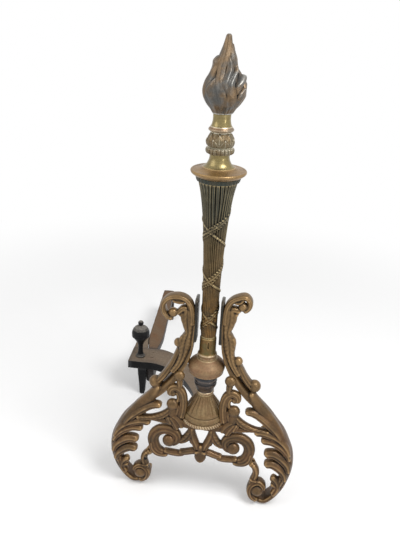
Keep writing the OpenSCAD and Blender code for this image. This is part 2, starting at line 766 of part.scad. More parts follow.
module front_iron_leg() {
    toe = 4;
    top = iron_leg_w / 2;
    foot = iron_foot_w / 2;
    outline = [[-foot + toe / 2, 0], [foot - toe / 2, 0], [foot, toe], [top, iron_z],
        [-top, iron_z], [-foot, toe]];
    color(black_iron) placed() translate([-leg_x, leg_y, 0]) {
        intersection() {
            sideways(iron_leg_w) polygon(outline);
            upright(-top, top) polygon(outline);
        }
        translate([0, 0, iron_z]) cylinder(h = iron_t, r = tenon_r);
    }
}

// The log stop: a stud in the pad, a flared foot, a thin stem and a ball with a knob on it.
module ball_stop() {
    neck_r = 2.6;
    crown = [for (a = [0 : 10 : 80]) [stop_ball_r * cos(a), stop_ball_z + stop_ball_r * sin(a)]];
    color(black_iron) placed() translate([-stop_x, stop_y, log_z]) {
        rotate_extrude() polygon(concat([[0, -iron_t], [stud_r, -iron_t], [stud_r, 0],
            [stop_foot_r, 0], [stop_foot_r - 1, 2], [stop_stem_r + 1, 6], [stop_stem_r, 12],
            [stop_stem_r, 22], [stop_stem_r + 2, 29], [stop_ball_r - 2.5, stop_ball_z - 8],
            [stop_ball_r - 0.6, stop_ball_z - 4]], crown,
            [[neck_r, stop_ball_z + stop_ball_r], [neck_r, stop_ball_z + stop_knob_z],
            [0, stop_ball_z + stop_knob_z]]));
        translate([0, 0, stop_ball_z + stop_knob_z]) sphere(r = stop_knob_r);
    }
}

gadroon_ring();
bell_foot();
foot_torus();
dark_spool();
dome();
cuff_rings();
slotted_collar();
torch_shaft();
drip_disc();
polished_neck();
beaded_ring();
leaf_knop();
astragal_ring();
flame_neck();
flame_finial();
tie_rod();
tie_washer();
tie_nut();
left_scroll_leg();
right_scroll_leg();
pierced_apron();
leg_screws();
iron_arm();
log_bar();
lap_rivets();
front_iron_leg();
ball_stop();
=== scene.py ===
# Brass andiron: torch column with a flame, two scroll legs, pierced apron, iron dog behind.
import math

import bpy
import numpy as np
from mathutils import Matrix, Vector


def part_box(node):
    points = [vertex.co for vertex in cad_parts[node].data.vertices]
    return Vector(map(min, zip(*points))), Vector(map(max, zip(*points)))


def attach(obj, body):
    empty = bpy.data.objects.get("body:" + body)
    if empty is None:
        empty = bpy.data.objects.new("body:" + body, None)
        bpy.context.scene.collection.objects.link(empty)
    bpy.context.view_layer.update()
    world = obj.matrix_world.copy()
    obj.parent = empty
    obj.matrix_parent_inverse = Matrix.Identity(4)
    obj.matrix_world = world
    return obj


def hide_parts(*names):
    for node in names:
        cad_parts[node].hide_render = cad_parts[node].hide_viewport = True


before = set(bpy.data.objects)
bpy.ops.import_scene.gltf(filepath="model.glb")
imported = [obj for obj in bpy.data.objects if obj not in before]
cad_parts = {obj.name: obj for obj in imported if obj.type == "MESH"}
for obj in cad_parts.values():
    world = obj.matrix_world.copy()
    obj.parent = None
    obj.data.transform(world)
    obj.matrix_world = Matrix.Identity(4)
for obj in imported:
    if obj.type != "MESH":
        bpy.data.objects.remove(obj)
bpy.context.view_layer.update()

mm = 0.001
tau = 2 * math.pi
shaftLow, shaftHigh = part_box("torch_shaft")
columnX = (shaftLow[0] + shaftHigh[0]) / 2     # the column's axis carries every measure below
columnY = (shaftLow[1] + shaftHigh[1]) / 2


def curveThrough(points, steps=8):
    # Catmull-Rom: a cubic through each pair of points, its slopes taken from their neighbours.
    p = np.asarray(points, float)
    p = np.vstack([p[:1], p, p[-1:]])
    t = np.linspace(0, 1, steps, endpoint=False)[None, :, None]
    a, b, c, d = (part[:, None] for part in (p[:-3], p[1:-2], p[2:-1], p[3:]))
    spans = 0.5 * (2 * b + (c - a) * t + (2 * a - 5 * b + 4 * c - d) * t ** 2
                   + (3 * b - 3 * c + d - a) * t ** 3)
    return np.vstack([spans.reshape(-1, p.shape[1]), p[-1:]])


def walked(line):
    # The distance walked along the line to each of its points.
    return np.concatenate([[0], np.cumsum(np.linalg.norm(np.diff(line, axis=0), axis=1))])


def headings(line):
    # The line's direction at each point, a unit long.
    heading = np.gradient(line, axis=0)
    return heading / np.linalg.norm(heading, axis=1)[:, None]


def evenly(curve, spacing):
    # Same line with its points an equal walk apart; every column is read at the walked length.
    walk = walked(curve[:, :2])
    stops = np.linspace(0, walk[-1], max(int(round(walk[-1] / spacing)), 2) + 1)
    return np.stack([np.interp(stops, walk, column) for column in curve.T], axis=1)


def softened(outline, spacing, softness):
    # Each point becomes the bell-weighted mean of those beside it, so corners turn round.
    line = evenly(np.asarray(outline, float), spacing)
    reach = max(int(3 * softness / spacing), 1)
    shift = np.arange(-reach, reach + 1)
    weight = np.exp(-0.5 * (shift * spacing / softness) ** 2)
    padded = np.vstack([2 * line[0] - line[reach:0:-1], line, 2 * line[-1] - line[-2:-reach - 2:-1]])
    parts = [w * padded[k:k + len(line)] for k, w in enumerate(weight / weight.sum())]
    return np.sum(parts, axis=0)


def ramp(value, low, high):
    # 0 below low, 1 above high, an S between: 3t^2 - 2t^3.
    t = np.clip((value - low) / (high - low), 0, 1)
    return t * t * (3 - 2 * t)


def hump(value, middle, half):
    # A bell curve: e^-((value - middle)/half)^2, which is 1 at the middle.
    return np.exp(-((value - middle) / half) ** 2)


def gridOf(x, y, z):
    # Three arrays that fit each other become one array of points.
    return np.stack(np.broadcast_arrays(x, y, z), axis=-1).astype(float)


def unevenness(p, size, seed):
    # Sum of eight sine waves with drawn directions, about -1 to 1, one wave per size.
    rng = np.random.default_rng(seed)
    heading = rng.normal(size=(8, 3))
    heading *= (rng.uniform(0.6, 1.6, 8) / np.linalg.norm(heading, axis=1))[:, None]
    return np.sin(p @ heading.T * tau / size + rng.uniform(0, tau, 8)).sum(axis=-1) / 3.2


def gridFaces(rows, cols, wrapRows=False):
    # Four-sided faces between the points of a grid whose rows are closed rings.
    i = np.arange(rows if wrapRows else rows - 1)[:, None]
    j = np.arange(cols)[None, :]
    nextI, nextJ = (i + 1) % rows, (j + 1) % cols
    return np.stack([i * cols + j, i * cols + nextJ, nextI * cols + nextJ, nextI * cols + j],
                    axis=-1).reshape(-1, 4)


def outwards(verts, quads, tris):
    # Signed volume: a sixth of the sum of a . (b x c); a negative one turns every face round.
    fans = np.vstack([quads[:, [0, 1, 2]], quads[:, [0, 2, 3]], tris])
    a, b, c = verts[fans[:, 0]], verts[fans[:, 1]], verts[fans[:, 2]]
    if np.einsum("ij,ij->i", a, np.cross(b, c)).sum() < 0:
        quads, tris = quads[:, ::-1], tris[:, ::-1]
    return verts, quads, tris


def cappedShell(rings):
    # rings is (rows, cols, 3): a tube whose two ends close on the mean of their last ring.
    rows, cols = rings.shape[:2]
    verts = np.vstack([rings.reshape(-1, 3), rings[0].mean(axis=0), rings[-1].mean(axis=0)])
    j = np.arange(cols)
    first = np.stack([(j + 1) % cols, j, np.full(cols, rows * cols)], axis=1)
    last = (rows - 1) * cols
    final = np.stack([last + j, last + (j + 1) % cols, np.full(cols, rows * cols + 1)], axis=1)
    return outwards(verts, gridFaces(rows, cols), np.vstack([first, final]))


def loopShell(grid):
    # grid is (turn, outline, 3), closed both ways like a ring.
    turn, outline = grid.shape[:2]
    return outwards(grid.reshape(-1, 3), gridFaces(turn, outline, True), np.zeros((0, 3), int))


def joinedMesh(name, shells):
    verts, faces, start = [], [], 0
    for points, quads, tris in shells:
        verts.append(points)
        faces += (quads + start).tolist() + (tris + start).tolist()
        start += len(points)
    points = np.vstack(verts) * mm + [columnX, columnY, 0]
    mesh = bpy.data.meshes.new(name)
    mesh.from_pydata(points.tolist(), [], faces)
    mesh.validate()
    mesh.shade_smooth()
    return mesh


def withModifiers(piece):
    # Swaps the mesh for the one its modifiers make, and drops them.
    bpy.context.view_layer.update()
    shaped = piece.evaluated_get(bpy.context.evaluated_depsgraph_get())
    mesh = bpy.data.meshes.new_from_object(shaped)
    piece.modifiers.clear()
    piece.data = mesh
    mesh.shade_smooth()


def measureRelief(mesh, rounds, depth):
    # The point is compared with its neighbours' spread-out mean: above it is a hollow,
    # below it an edge. Both go to the materials as attributes from 0 to 1.
    count = len(mesh.vertices)
    points, normals = np.empty(count * 3), np.empty(count * 3)
    mesh.vertices.foreach_get("co", points)
    mesh.vertices.foreach_get("normal", normals)
    ends = np.empty(len(mesh.edges) * 2, int)
    mesh.edges.foreach_get("vertices", ends)
    a, b = ends.reshape(-1, 2).T
    degree = np.maximum(np.bincount(a, minlength=count) + np.bincount(b, minlength=count), 1)
    points, normals = points.reshape(-1, 3), normals.reshape(-1, 3)

    def spread(values):
        near = [np.bincount(a, values[b, k], count) + np.bincount(b, values[a, k], count)
                for k in range(values.shape[1])]
        return 0.4 * values + 0.6 * np.stack(near, axis=1) / degree[:, None]

    mean = points.copy()
    for _ in range(rounds):
        mean = spread(mean)
    rise = ((mean - points) * normals).sum(axis=1)[:, None] / (depth * mm)
    for _ in range(2):
        rise = spread(rise)
    for name, value in (("hollow", rise), ("raisedness", -rise)):
        layer = mesh.attributes.new(name, "FLOAT", "POINT")
        layer.data.foreach_set("value", np.clip(value[:, 0], 0, 1).astype(np.float32))


def inScene(name, data):
    made = bpy.data.objects.new(name, data)
    bpy.context.scene.collection.objects.link(made)
    return made


def addPiece(name, shape, finish, nodeName, relief):
    # shape is a finished mesh or a list of shells; relief is (rounds, depth) or None.
    mesh = shape if isinstance(shape, bpy.types.Mesh) else joinedMesh(name, shape)
    piece = inScene(name, mesh)
    if relief:
        measureRelief(mesh, *relief)
    mesh.materials.clear()
    mesh.materials.append(finishes[finish])
    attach(piece, "root")
    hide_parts(nodeName)


def tone(code):
    # A written colour #rrggbb becomes light: c/12.92 when dark, else ((c + 0.055)/1.055)^2.4.
    shares = np.array([int(code[k:k + 2], 16) / 255 for k in (1, 3, 5)])
    light = np.where(shares <= 0.04045, shares / 12.92, ((shares + 0.055) / 1.055) ** 2.4)
    return (*light, 1.0)


def fillSockets(tree, made, inputs):
    # A socket is linked, anything else is set as the input's value.
    for key, value in inputs.items():
        if isinstance(value, bpy.types.NodeSocket):
            tree.links.new(value, made.inputs[key])
        else:
            made.inputs[key].default_value = value


def addNode(tree, kind, inputs=None, **settings):
    made = tree.nodes.new("ShaderNode" + kind)
    for key, value in settings.items():
        setattr(made, key, value)
    fillSockets(tree, made, inputs or {})
    return made


def maths(tree, operation, first, second=0.0, clamp=False):
    return addNode(tree, "Math", {0: first, 1: second}, operation=operation,
                   use_clamp=clamp).outputs[0]


def blended(tree, share, first, second, mode="MIX"):
    return addNode(tree, "Mix", {0: share, 6: first, 7: second}, data_type="RGBA",
                   blend_type=mode, clamp_factor=True).outputs[2]


def ranged(tree, value, low, high, toLow=0.0, toHigh=1.0):
    return addNode(tree, "MapRange", {0: value, 1: low, 2: high, 3: toLow, 4: toHigh},
                   interpolation_type="SMOOTHSTEP").outputs[0]


def noise(tree, vector, scale, detail, rough):
    return addNode(tree, "TexNoise", {"Vector": vector, "Scale": scale, "Detail": detail,
                                      "Roughness": rough}).outputs["Fac"]


def mottled(tree, color, amount):
    # The colour times one amount on all three channels.
    grey = addNode(tree, "CombineColor", {0: amount, 1: amount, 2: amount}).outputs[0]
    return blended(tree, 1.0, color, grey, "MULTIPLY")


def startGroup(name, inputs, outputs):
    group = bpy.data.node_groups.new(name, "ShaderNodeTree")
    for label, kind, value in inputs:
        socket = group.interface.new_socket(label, in_out="INPUT", socket_type="NodeSocket" + kind)
        if value is not None:
            socket.default_value = value
    for label, kind in outputs:
        group.interface.new_socket(label, in_out="OUTPUT", socket_type="NodeSocket" + kind)
    return group, group.nodes.new("NodeGroupInput").outputs, group.nodes.new("NodeGroupOutput")


def patinaAndPaintedLightGroup():
    # Cast brass: cloudy tone, dark in the hollows as dirt and painted shade, bright on the raised edges
    # as rubbed metal and painted highlight.
    group, given, out = startGroup("castPatinaAndPaintedLight", [
        ("Vector", "Vector", None), ("Hollow", "Float", 0.0), ("Raised", "Float", 0.0),
        ("Base", "Color", tone("#6e5032")), ("Warm", "Color", tone("#7d5a34")),
        ("Dirt and shade", "Color", tone("#1d1610")), ("Bright", "Color", tone("#b08d58")),
        ("Cloud size", "Float", 60.0), ("Dirt and shade amount", "Float", 1.0),
        ("Wear and highlight amount", "Float", 1.0)], [
        ("Color", "Color"), ("Roughness", "Float"), ("Height", "Float")])
    cloud = noise(group, given["Vector"], given["Cloud size"], 5.0, 0.6)
    fleck = noise(group, given["Vector"], 420.0, 3.0, 0.6)
    body = blended(group, ranged(group, cloud, 0.38, 0.62), given["Base"], given["Warm"])
    body = mottled(group, body, ranged(group, fleck, 0.25, 0.75, 0.8, 1.18))
    wander = maths(group, "MULTIPLY", maths(group, "SUBTRACT", cloud, 0.5), 0.7)
    # The hollows darken: partly dirt, partly painted shade.
    dirtAndShade = maths(group, "MULTIPLY", given["Hollow"], given["Dirt and shade amount"])
    dirtAndShade = ranged(group, maths(group, "ADD", dirtAndShade, wander), 0.08, 0.9)
    # Raised edges brighten: partly rubbed metal, partly painted highlight.
    raisedness = maths(group, "MULTIPLY", given["Raised"], given["Wear and highlight amount"])
    raisedness = ranged(group, maths(group, "SUBTRACT", raisedness, wander), 0.1, 1.0)
    color = blended(group, dirtAndShade, body, given["Dirt and shade"])
    color = blended(group, raisedness, color, given["Bright"])
    group.links.new(color, out.inputs["Color"])
    rough = maths(group, "ADD", 0.4, maths(group, "MULTIPLY", dirtAndShade, 0.35))
    rough = maths(group, "SUBTRACT", rough, maths(group, "MULTIPLY", raisedness, 0.12))
    rough = maths(group, "ADD", rough, maths(group, "MULTIPLY", wander, 0.2))
    group.links.new(rough, out.inputs["Roughness"])
    group.links.new(maths(group, "ADD", fleck, cloud), out.inputs["Height"])
    return group


def turningGroup():
    # Fine lines that a lathe or a cloth leaves round the column: noise over radius and height.
    group, given, out = startGroup("turningLines", [
        ("Vector", "Vector", None), ("Lines", "Float", 900.0)], [
        ("Height", "Float"), ("Tone", "Float")])
    place = addNode(group, "SeparateXYZ", {0: given["Vector"]}).outputs
    offX = maths(group, "SUBTRACT", place[0], columnX)
    offY = maths(group, "SUBTRACT", place[1], columnY)
    square = maths(group, "ADD", maths(group, "MULTIPLY", offX, offX),
                   maths(group, "MULTIPLY", offY, offY))
    radius = maths(group, "SQRT", square)
    walk = addNode(group, "CombineXYZ", {0: maths(group, "MULTIPLY", radius, given["Lines"]),
                                         1: maths(group, "MULTIPLY", place[2], given["Lines"]),
                                         2: 0.0}).outputs[0]
    lines = noise(group, walk, 1.0, 3.0, 0.7)
    group.links.new(lines, out.inputs["Height"])
    group.links.new(ranged(group, lines, 0.3, 0.7), out.inputs["Tone"])
    return group


def ironGroup():
    # Forged iron: black scale with pits, and brown-grey and rust where faces look up; the brown-grey is
    # partly dust, partly painted light from above.
    group, given, out = startGroup("forgedIron", [
        ("Vector", "Vector", None), ("Upward", "Float", 0.0), ("Raised", "Float", 0.0),
        ("Scale color", "Color", tone("#101216")), ("Dust and top light", "Color", tone("#6b5d55")),
        ("Rust", "Color", tone("#6a4434")), ("Rust amount", "Float", 0.3)], [
        ("Color", "Color"), ("Roughness", "Float"), ("Height", "Float")])
    cloud = noise(group, given["Vector"], 40.0, 5.0, 0.6)
    grain = noise(group, given["Vector"], 350.0, 4.0, 0.65)
    pits = addNode(group, "TexVoronoi", {"Vector": given["Vector"], "Scale": 260.0},
                   feature="SMOOTH_F1").outputs["Distance"]
    wander = maths(group, "SUBTRACT", grain, 0.5)
    lift = maths(group, "ADD", given["Upward"], maths(group, "MULTIPLY", wander, 0.5))
    dustyAndLit = ranged(group, lift, 0.35, 0.95)
    rusty = maths(group, "ADD", cloud, maths(group, "MULTIPLY", wander, 0.6))
    rusty = ranged(group, rusty, 0.45, 0.7)
    rusty = maths(group, "MULTIPLY", rusty, given["Rust amount"])
    top = blended(group, rusty, given["Dust and top light"], given["Rust"])
    color = blended(group, dustyAndLit, given["Scale color"], top)
    color = blended(group, maths(group, "MULTIPLY", given["Raised"], 0.35), color, tone("#4a4a4c"))
    color = mottled(group, color, ranged(group, grain, 0.25, 0.75, 0.75, 1.2))
    group.links.new(color, out.inputs["Color"])
    group.links.new(ranged(group, maths(group, "ADD", dustyAndLit, grain), 0.2, 1.6, 0.42, 0.8),
                    out.inputs["Roughness"])
    group.links.new(maths(group, "ADD", grain, pits), out.inputs["Height"])
    return group


groups = {"patinaAndPaintedLight": patinaAndPaintedLightGroup(), "lines": turningGroup(), "iron": ironGroup()}


def useGroup(tree, name, inputs):
    made = tree.nodes.new("ShaderNodeGroup")
    made.node_tree = groups[name]
    fillSockets(tree, made, inputs)
    return made.outputs


def startMaterial(name, metallic, specular=0.5):
    made = bpy.data.materials.new(name)
    made.use_nodes = True
    tree = made.node_tree
    shader = tree.nodes["Principled BSDF"]
    shader.inputs["Metallic"].default_value = metallic
    shader.inputs["Specular IOR Level"].default_value = specular
    place = tree.nodes.new("ShaderNodeTexCoord").outputs["Object"]
    return made, tree, shader, place


def attribute(tree, name):
    return addNode(tree, "Attribute", attribute_name=name).outputs["Fac"]


def roughened(tree, shader, height, strength, distance):
    bump = addNode(tree, "Bump", {"Strength": strength, "Distance": distance, "Height": height})
    tree.links.new(bump.outputs[0], shader.inputs["Normal"])


lathePitch = 1400.0     # turning lines' scale
castRelief, forgedRelief = 0.0006, 0.0008     # how far the bumps stand up, in metres


def brass(name, metallic, base, warm, dirtAndShade, bright, cloud=60.0, dirtAndShadeAmount=1.0, wearAndHighlightAmount=1.0,
          lines=0.0, shine=0.0, bump=0.25, tints=()):
    # tints are (low z, high z, colour, share): the body takes that colour towards high z.
    made, tree, shader, place = startMaterial(name, metallic)
    baseColor, warmColor = tone(base), tone(warm)
    height = addNode(tree, "SeparateXYZ", {0: place}).outputs[2]
    for low, high, code, share in tints:
        part = maths(tree, "MULTIPLY", ranged(tree, height, low, high), share)
        baseColor = blended(tree, part, baseColor, tone(code))
        warmColor = blended(tree, maths(tree, "MULTIPLY", part, 0.75), warmColor, tone(code))
    outs = useGroup(tree, "patinaAndPaintedLight", {
        "Vector": place, "Hollow": attribute(tree, "hollow"), "Raised": attribute(tree, "raisedness"),
        "Base": baseColor, "Warm": warmColor, "Dirt and shade": tone(dirtAndShade), "Bright": tone(bright),
        "Cloud size": cloud, "Dirt and shade amount": dirtAndShadeAmount, "Wear and highlight amount": wearAndHighlightAmount})
    color, rough, relief = outs["Color"], outs["Roughness"], outs["Height"]
    if lines:
        drawn = useGroup(tree, "lines", {"Vector": place, "Lines": lathePitch})
        color = blended(tree, maths(tree, "MULTIPLY", drawn["Tone"], lines), color, tone(bright))
        relief = maths(tree, "ADD", maths(tree, "MULTIPLY", drawn["Height"], 1.4), relief)
    tree.links.new(color, shader.inputs["Base Color"])
    tree.links.new(maths(tree, "SUBTRACT", rough, shine, True), shader.inputs["Roughness"])
    roughened(tree, shader, relief, bump, castRelief)
    return made


def iron(name, scale, dustAndTopLight, rust, rustAmount):
    made, tree, shader, place = startMaterial(name, 0.2, 0.2)
    facing = addNode(tree, "NewGeometry").outputs["Normal"]
    upward = addNode(tree, "SeparateXYZ", {0: facing}).outputs[2]
    outs = useGroup(tree, "iron", {
        "Vector": place, "Upward": upward, "Raised": attribute(tree, "raisedness"),
        "Scale color": tone(scale), "Dust and top light": tone(dustAndTopLight), "Rust": tone(rust),
        "Rust amount": rustAmount})
    tree.links.new(outs["Color"], shader.inputs["Base Color"])
    tree.links.new(outs["Roughness"], shader.inputs["Roughness"])
    roughened(tree, shader, outs["Height"], 0.45, forgedRelief)
    return made


# In each look the dark colour fills the hollows as dirt and painted shade, and the bright colour lies on
# raised edges as rubbed metal and painted highlight.
brassLooks = {
    "paleBrass": dict(metallic=0.35, base="#8d7656", warm="#86684a", bright="#b6a283",
                      dirtAndShade="#3a2c1c", lines=0.1, cloud=70.0, shine=-0.12),
    "bellBrass": dict(metallic=0.4, base="#776140", warm="#6c5233", bright="#a8946c",
                      dirtAndShade="#33271a", lines=0.12, cloud=70.0, shine=-0.12),
    "domeBrass": dict(metallic=0.4, base="#84694a", warm="#7c5c40", bright="#a38d6b",
                      dirtAndShade="#2a2015", lines=0.2, shine=-0.14),
    "collarBrass": dict(metallic=0.45, base="#6e5229", warm="#5f5430", bright="#93794c",
                        dirtAndShade="#20180e", cloud=90.0, shine=-0.1),
    # The legs are tinted paler towards their tops: a painted highlight on the upper band.
    "legBrass": dict(metallic=0.5, base="#553a1f", warm="#4a3720", bright="#9b7c52",
                     dirtAndShade="#130c07", dirtAndShadeAmount=1.5, wearAndHighlightAmount=1.15, cloud=45.0,
                     tints=((0.1, 0.28, "#6b5434", 0.9),)),
    "neckBrass": dict(metallic=0.8, base="#86774b", warm="#7f7049", bright="#cac09a",
                      dirtAndShade="#4a3a20", lines=0.15, shine=0.12, bump=0.1),
    "discBrass": dict(metallic=0.6, base="#8a6c42", warm="#7e6340", bright="#a88c60",
                      dirtAndShade="#40301c", lines=0.25, shine=0.02, bump=0.15),
    "copperBrass": dict(metallic=0.6, base="#7f6349", warm="#7c7264", bright="#b8ab90",
                        dirtAndShade="#2a1e14", lines=0.1, bump=0.12),
    "torchBrass": dict(metallic=0.65, base="#79592e", warm="#5c4a30", bright="#a4936c",
                       dirtAndShade="#14120d", dirtAndShadeAmount=1.5, wearAndHighlightAmount=0.9, cloud=90.0,
                       tints=((0.3, 0.4, "#5f5036", 0.8), (0.4, 0.49, "#2f3936", 0.92))),
    "flameBrass": dict(metallic=0.6, base="#545350", warm="#6f5b43", bright="#a3a19b",
                       dirtAndShade="#12110f", dirtAndShadeAmount=1.5, cloud=40.0),
    "knopBrass": dict(metallic=0.6, base="#716750", warm="#6c5a3e", bright="#c9c4b2",
                      dirtAndShade="#1a140d", dirtAndShadeAmount=1.5, wearAndHighlightAmount=1.2),
    # The spool's upper part and the dome's neck are tinted dark blue-grey: painted shade under the dome
    # with a painted bluish sheen.
    "darkSpool": dict(metallic=0.4, base="#4a3829", warm="#322a25", bright="#5e5550",
                      dirtAndShade="#1b1613", shine=-0.08, bump=0.12,
                      tints=((0.2085, 0.2095, "#24262a", 0.95), (0.214, 0.217, "#34383e", 0.8))),
    # The strap's dark colour is dirt and painted shade on the leg's inner face.
    "strapDirtAndShade": dict(metallic=0.5, base="#27231d", warm="#2a2821", bright="#4c463c",
                       dirtAndShade="#15110d", bump=0.3)}
ironLooks = {
    "ballIron": dict(scale="#0d0d0f", dustAndTopLight="#7d7871", rust="#665c52", rustAmount=0.2),
    "blackIron": dict(scale="#0b0b0d", dustAndTopLight="#7b6c5c", rust="#6a5140", rustAmount=0.2),
    "rustyBar": dict(scale="#332a24", dustAndTopLight="#715c48", rust="#6f4f36", rustAmount=0.7)}
finishes = {name: brass(name, **look) for name, look in brassLooks.items()}
finishes.update({name: iron(name, **look) for name, look in ironLooks.items()})
print("materials:", len(finishes))


boreRadius = 4.1


def boredShell(angle, radius, level):
    # x = r sin(angle), y = -r cos(angle), angle 0 in front. A bore closes the ring inside.
    radius = np.pad(radius, ((0, 0), (1, 1)), constant_values=boreRadius)
    level = np.concatenate([level[:1], level, level[-1:]])
    return loopShell(gridOf(radius * np.sin(angle), -radius * np.cos(angle), level))


def turnedShell(foot, outline, count, relief=None, spacing=0.45, softness=0.5):
    # The outline, (radius, height) in mm, goes round the column, and relief(angle, height,
    # radius) is added to its radius.
    outer = softened(outline, spacing, softness)
    angle = np.arange(count)[:, None] * tau / count
    radius = np.broadcast_to(outer[:, 0], (count, len(outer))).copy()
    height = outer[:, 1][None, :]
    if relief:
        radius += relief(angle, height, radius)
    return boredShell(angle, radius, outer[:, 1] + foot)


def lobes(angle, count, sharpness, phase=0.0):
    # Round lobes with narrow valleys between: |cos(count/2 angle)| to a power, 0 to 1.
    return np.abs(np.cos(angle * count / 2 + phase)) ** sharpness


gadroon = dict(outline=[(27, 0), (30.5, 0), (32, 1), (32.5, 2.6), (32.2, 4.2), (31, 5.4),
                        (29, 6), (27, 6)],
               lobeCount=50, sharpness=0.8, slant=0.42, middle=3, depth=1.5, cutBeyond=(28, 31))


def gadroonRelief(angle, height, radius):
    # Slanted lobes, cut in only where the ring is wider than its sides.
    lean = gadroon["slant"] * (height - gadroon["middle"])
    cut = 1 - lobes(angle, gadroon["lobeCount"], gadroon["sharpness"], lean)
    return -gadroon["depth"] * cut * ramp(radius, *gadroon["cutBeyond"])


bell = dict(outline=[(26, 0), (29.2, 0), (29.4, 0.8), (30.3, 1.6), (30.9, 3), (31, 4.8), (30.4, 7),
                     (29.2, 8.8), (28.6, 9.6), (28.3, 10.6), (27.2, 13.5), (25.2, 18), (22.9, 22),
                     (20.2, 26), (17.4, 30), (14.8, 34), (12.8, 37.5), (11.8, 40), (11.6, 41)],
            step=10.5, grooveBelow=0.6, grooveHalf=0.7, grooveDepth=1.1, height=41, flutes=22,
            fluteDepth=1.2, fluteStart=(0.02, 0.25), fluteEnd=(0.75, 1.0), fluteFade=0.8)


def bellRelief(angle, height, radius):
    # Shallow flutes, a cosine wave round the bell, run up from a groove over its smooth band.
    share = (height - bell["step"]) / (bell["height"] - bell["step"])
    window = ramp(share, *bell["fluteStart"])
    window = window * (1 - bell["fluteFade"] * ramp(share, *bell["fluteEnd"]))
    groove = bell["grooveDepth"] * hump(height, bell["step"] - bell["grooveBelow"], bell["grooveHalf"])
    return -groove - bell["fluteDepth"] * window * (0.5 - 0.5 * np.cos(angle * bell["flutes"]))


dome = dict(outline=[(16, 10), (19, 10), (23.4, 10.6), (25, 11.6), (25.4, 13), (24.9, 14.4),
                     (25.4, 15.4), (26.5, 18), (27, 21), (26.8, 23.2), (25.4, 26),
                     (22.6, 28.9), (19.4, 31.5), (16.6, 33.5), (14.6, 35)],
            beads=64, sharpness=0.9, beadDepth=0.8, beadHeight=12.8, beadHalf=1.0)


def domeRelief(angle, height, radius):
    # Fine beads round the lower edge, fading out above and below their own height.
    band = hump(height, dome["beadHeight"], dome["beadHalf"])
    return -dome["beadDepth"] * band * (1 - lobes(angle, dome["beads"], dome["sharpness"]))


collar = dict(outline=[(13, 0), (12.4, 1.2), (12, 3), (11.9, 24), (11.6, 25.4), (11, 26)],
              slotMiddle=16.5, slotReach=5.5, slotHalf=1.3, slotDepth=2.2, slotTurn=0.16,
              slotEdge=(-0.25, 0.35), almondHalf=3.6, almondHeight=0.5, almondLong=1.5,
              almondEdge=0.4)


def collarRelief(angle, height, radius):
    # An almond stands proud round the slot, and the slot is sunk in its middle.
    turn = (angle - collar["slotTurn"] + math.pi) % tau - math.pi
    across = turn * radius
    along = (height - collar["slotMiddle"]) / collar["slotReach"]
    edge = collar["almondHalf"] * np.sqrt(np.clip(collar["almondLong"] - along ** 2, 0.001, None))
    almond = ramp(1 - np.abs(across) / edge, 0, collar["almondEdge"])
    width = collar["slotHalf"] * np.sqrt(np.clip(1 - along ** 4, 0, None))
    inside = ramp(width - np.abs(across), *collar["slotEdge"]) * (np.abs(along) < 1)
    return collar["almondHeight"] * almond - collar["slotDepth"] * inside


beadRing = dict(outline=[(15.4, 0), (17.8, 1.2), (18.6, 4.2), (17.8, 7.2), (15.4, 8.5)],
                beads=22, sharpness=0.55, depth=1.1)


def beadRingRelief(angle, height, radius):
    # Round beads all the way over the ring.
    return -beadRing["depth"] * (1 - lobes(angle, beadRing["beads"], beadRing["sharpness"]))


knop = dict(outline=[(14.6, 0), (17.2, 2.4), (18.4, 6.4), (17.8, 10.4), (15.8, 14.2),
                     (14.0, 17.2), (13.6, 19)], leaves=7, depth=2.4,
            rows=((-5, 11), (0, 17), (7, 25)), rowDrop=0.3, leafHalf=0.56, leafPower=2.4,
            # how high each stands, where it lies and how wide it is, as shares of a leaf
            rim=(0.16, 0.86, 0.1), ridge=(0.22, 0, 0.035), middle=0.95, roundness=0.35)


def knopRelief(angle, height, radius):
    # Rows of pointed leaves, each row half a leaf on from the last and lying behind it: a leaf
    # is an almond over angle and height, round across, with a rim and a ridge down its middle.
    best = np.full(np.broadcast(angle, height).shape, -1.0)
    for row, (low, high) in enumerate(knop["rows"]):
        along = np.clip((height - low) / (high - low), 0, 1)
        turn = (angle * knop["leaves"] / tau + 0.5 * (row % 2)) % 1 - 0.5
        half = knop["leafHalf"] * np.clip(1 - along ** knop["leafPower"], 0.0001, None)
        side = np.abs(turn) / half
        rim = knop["rim"][0] * hump(side, *knop["rim"][1:])
        ridge = knop["ridge"][0] * hump(turn, *knop["ridge"][1:])
        leaf = knop["middle"] - knop["roundness"] * side ** 2 + rim + ridge
        leaf = np.where((side < 1) & (height < high), leaf - knop["rowDrop"] * row, -1.0)
        best = np.maximum(best, leaf)
    return knop["depth"] * (np.clip(best, 0, 1.2) - 1)


disc = dict(outline=[(24, 6.2), (29.4, 6.2), (30.2, 6.7), (32.6, 8.2), (34.8, 9.8), (36, 11.4),
                     (36.2, 13), (35.3, 14.3), (33.7, 14.5), (32.6, 14.2), (29.4, 14.6),
                     (26, 15.3), (23.4, 16.2), (21.4, 17.3), (20, 18.5)])
lip = dict(outline=[(25, 0), (27.9, 0), (28.4, 1.6), (28.9, 3.4), (29.3, 5.2), (29.3, 6.2), (25, 6.2)],
           reeds=30, reedPower=0.6, depth=1.1)


def lipRelief(angle, height, radius):
    # The shaft's reeds run on over the lip: |sin(15 angle)|^0.6.
    reed = np.abs(np.sin(angle * lip["reeds"] / 2)) ** lip["reedPower"]
    return -lip["depth"] * (1 - reed)


